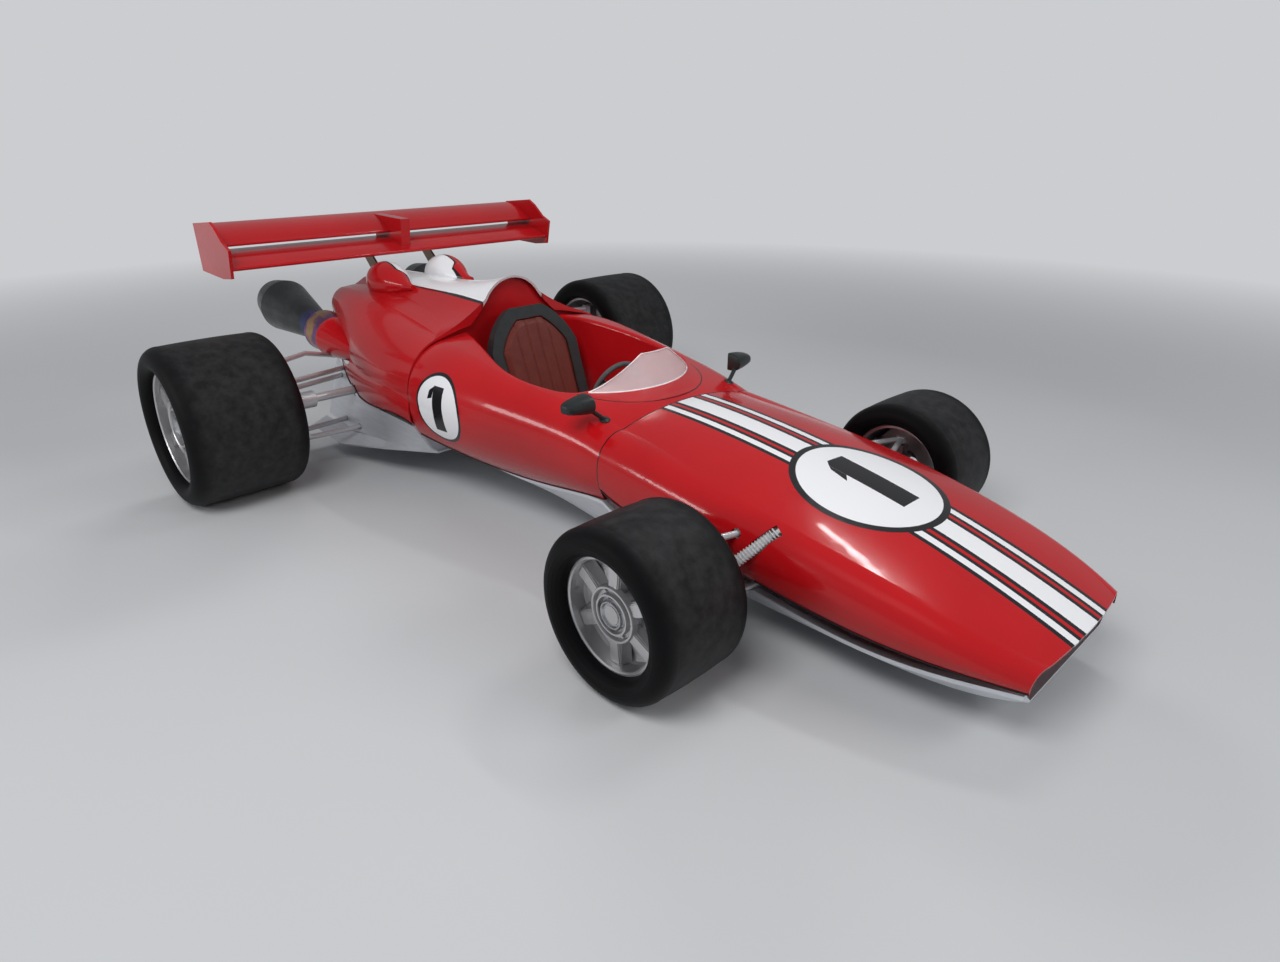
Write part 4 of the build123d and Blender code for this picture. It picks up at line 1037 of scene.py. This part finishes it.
def loose_parts(mesh):
    """A mesh's separate closed parts, each as its own bmesh."""
    whole = bmesh.new()
    whole.from_mesh(mesh)
    bmesh.ops.remove_doubles(whole, verts=whole.verts[:], dist=1e-6)
    left = dict.fromkeys(whole.verts)
    parts = []
    while left:
        reached, ends = {}, [next(iter(left))]
        while ends:
            vertex = ends.pop()
            if vertex in left:
                del left[vertex]
                reached[vertex] = None
                ends += [e.other_vert(vertex) for e in vertex.link_edges]
        part = bmesh.new()
        new = {v: part.verts.new(v.co) for v in reached}
        for face in whole.faces:
            if face.verts[0] in reached:
                part.faces.new([new[v] for v in face.verts])
        bmesh.ops.recalc_face_normals(part, faces=part.faces)
        parts.append(part)
    whole.free()
    return parts


def drawn_in(part):
    """Moves a closed part's vertices inwards, so that the cushion has room to swell."""
    for vertex in part.verts:
        vertex.normal_update()
    moved = [v.co - v.normal * CUSHION_SHRINK for v in part.verts]
    for vertex, co in zip(part.verts, moved):
        vertex.co = co


def applied(piece):
    """Bakes a piece's modifiers into its mesh."""
    baked = bpy.data.meshes.new_from_object(piece.evaluated_get(bpy.context.evaluated_depsgraph_get()))
    piece.modifiers.clear()
    piece.data = baked


def swollen(piece, way, most):
    """Blows a cushion up a little as cloth, mostly out of its face."""
    rest = rows_of(piece.data.vertices, "co")
    cloth = piece.modifiers.new("cloth", "CLOTH")
    cloth.settings.use_pressure = True
    cloth.settings.uniform_pressure_force = CUSHION_PRESSURE
    cloth.settings.effector_weights.gravity = 0.0
    for moment in range(1, CUSHION_FRAMES + 1):
        bpy.context.scene.frame_set(moment)
    applied(piece)
    bpy.context.scene.frame_set(1)
    move = rows_of(piece.data.vertices, "co") - rest
    out = move @ way
    aside = move - out[:, None] * way
    reach = np.maximum(np.linalg.norm(aside, axis=1), 1e-9)
    aside *= np.minimum(1.0, SWELL_ASIDE / reach)[:, None]
    held = rest + np.clip(out, -SWELL_BACK, most)[:, None] * way + aside
    piece.data.vertices.foreach_set("co", held.ravel())
    piece.data.update()


def sew_channels(mesh, way):
    """Presses sewn lines into the side of a cushion that faces way."""
    places, normals = rows_of(mesh.vertices, "co"), rows_of(mesh.vertices, "normal")
    depth = sum(np.exp(-((places[:, 1] - at) / CHANNEL_WIDTH) ** 2) for at in CHANNELS)
    depth = CHANNEL_DEPTH * depth * (normals @ way > 0.2)
    mesh.vertices.foreach_set("co", (places - depth[:, None] * way).ravel())
    mesh.update()


def convex_outline(points):
    """The convex outline of flat points, in order."""
    points = sorted(set(points))
    halves = []
    for run in (points, points[::-1]):
        chain = []
        for p in run:
            while len(chain) > 1 and ((chain[-1][0] - chain[-2][0]) * (p[1] - chain[-2][1])
                                      - (chain[-1][1] - chain[-2][1]) * (p[0] - chain[-2][0])) <= 0:
                chain.pop()
            chain.append(p)
        halves += chain[:-1]
    return halves


def piping_path(part, way):
    """A closed path a little inside a pad's outline, just under its face."""
    up = ACROSS.cross(way)
    flat = [(v.co.y, v.co.dot(up)) for v in part.verts]
    level = max(v.co.dot(way) for v in part.verts) - PIPING_SINK
    mid_u, mid_v = sum(u for u, _ in flat) / len(flat), sum(v for _, v in flat) / len(flat)
    path = [ACROSS * (mid_u + (u - mid_u) * PIPING_INSET) + up * (mid_v + (v - mid_v) * PIPING_INSET)
            + way * level for u, v in convex_outline(flat)]
    return path + path[:1]


def cushion(part):
    top = max(v.co.z for v in part.verts)
    name, _, way, most = [row for row in CUSHIONS if top > row[1]][-1]
    way = Vector(way).normalized()
    path = piping_path(part, way)
    drawn_in(part)
    piece = new_piece(name, part, "chassis", red_leather, smooth=False)
    remesh = piece.modifiers.new("remesh", "REMESH")
    remesh.mode = "VOXEL"
    remesh.voxel_size = CUSHION_VOXEL
    applied(piece)
    swollen(piece, np.array(way), most)
    finer = piece.modifiers.new("finer", "SUBSURF")
    finer.levels = finer.render_levels = 1
    applied(piece)
    sew_channels(piece.data, np.array(way))
    piece.data.shade_smooth()
    dress(red_leather, piece)
    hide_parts("seat_pads")
    bm = bmesh.new()
    tube(bm, path, PIPING_RADIUS, sides=8)
    new_piece(name + "_piping", bm, "chassis", dark_piping)


# ---- all pieces ----
for corner in WHEELS:
    wheel = Wheel(corner)
    dress(tyre_rubber(wheel), "tyre_" + corner)
    dress(wheel_alloy, "rim_" + corner)
    for make in (hub_rings, wheel_nut, wheel_dish, drive_pins, spoke_ribs, rim_lip, valve, brake_disc,
                 brake_caliper):
        make(wheel)
for label, side in SIDES.items():
    for make in (damper_spring, exhaust_fairing, mirror_pod, mirror_face):
        make(label, side)
seal_strips()
screen_edges()
for part in loose_parts(NODES["seat_pads"].data):
    cushion(part)


# ---- stage ----
FLOOR_HALF = 60.0
FLOOR_FADE = (3.5, 9.0)
BACKDROP = (0.60, 0.61, 0.63)
WORLD_COLOUR = (0.93, 0.95, 1.0)
WORLD_LEVEL = 0.30
LAMPS = [
    # name, place, aim, width, height, watts, whether gloss mirrors it
    ("key", (1.8, -3.2, 4.4), (0.3, 0.0, 0.3), 2.8, 1.8, 150.0, False),
    ("strip", (1.20, 1.75, 4.0), (1.2, -0.3, 0.4), 1.50, 0.11, 22.0, True),
    ("front", (5.2, 1.6, 3.4), (0.6, 0.0, 0.4), 2.4, 1.4, 75.0, False),
    ("rim", (-4.0, 2.2, 3.6), (-0.6, 0.0, 0.5), 2.6, 0.8, 80.0, False),
    ("side", (-1.8, -5.6, 2.2), (-0.4, 0.0, 0.4), 3.0, 0.7, 60.0, True),
]


def floor_and_backdrop():
    """A pale floor that fades into the backdrop's tone far from the car."""
    mesh = bpy.data.meshes.new("floor")
    corners = [(x * FLOOR_HALF, y * FLOOR_HALF, 0) for x, y in ((-1, -1), (1, -1), (1, 1), (-1, 1))]
    mesh.from_pydata(corners, [], [(0, 1, 2, 3)])
    floor = scene_object("floor", mesh)
    g = Graph("pale_floor", Roughness=0.5, Specular_IOR_Level=0.3)
    g.set("Base Color", g.mix(g.noise(0.8, 2.0), (0.50, 0.51, 0.52), (0.53, 0.54, 0.55)))
    x, y, _ = g.place()
    glow = g.node("Emission", BACKDROP)
    both = g.node("MixShader", g.range(g.length(x, y), *FLOOR_FADE))
    g.tree.links.new(g.shader.outputs[0], both.inputs[1])
    g.tree.links.new(glow.outputs[0], both.inputs[2])
    g.tree.links.new(both.outputs[0], g.tree.nodes["Material Output"].inputs[0])
    floor.data.materials.append(g.material)


def room():
    """An even grey room, which the camera sees as the pale backdrop."""
    world = bpy.data.worlds.new("studio")
    bpy.context.scene.world = world
    world.use_nodes = True
    tree = world.node_tree
    lit = tree.nodes["Background"]
    lit.inputs[0].default_value = (*WORLD_COLOUR, 1.0)
    lit.inputs[1].default_value = WORLD_LEVEL
    seen = tree.nodes.new("ShaderNodeBackground")
    seen.inputs[0].default_value = (*BACKDROP, 1.0)
    seen.inputs[1].default_value = 1.0
    path = tree.nodes.new("ShaderNodeLightPath")
    either = tree.nodes.new("ShaderNodeMixShader")
    tree.links.new(path.outputs["Is Camera Ray"], either.inputs[0])
    tree.links.new(lit.outputs[0], either.inputs[1])
    tree.links.new(seen.outputs[0], either.inputs[2])
    tree.links.new(either.outputs[0], tree.nodes["World Output"].inputs[0])


def lamps():
    """Five soft lamps, two of which show in glossy surfaces."""
    for name, place, aim, width, height, watts, mirrors in LAMPS:
        data = bpy.data.lights.new(name, "AREA")
        data.shape = "RECTANGLE"
        data.size = width
        data.size_y = height
        data.energy = watts
        lamp = scene_object(name, data)
        lamp.visible_glossy = mirrors
        lamp.location = place
        lamp.rotation_euler = (Vector(aim) - Vector(place)).to_track_quat("-Z", "Y").to_euler()


def camera():
    data = bpy.data.cameras.new("camera")
    data.lens = CAMERA_LENS
    data.sensor_width = SENSOR_WIDTH
    data.sensor_fit = "HORIZONTAL"
    made = scene_object("camera", data)
    made.location = CAMERA_PLACE
    made.rotation_euler = (math.radians(90 + CAMERA_PITCH), 0, math.radians(CAMERA_AZIMUTH - 90))
    bpy.context.scene.camera = made


floor_and_backdrop()
room()
lamps()
camera()
bpy.context.scene.view_settings.view_transform = "Standard"
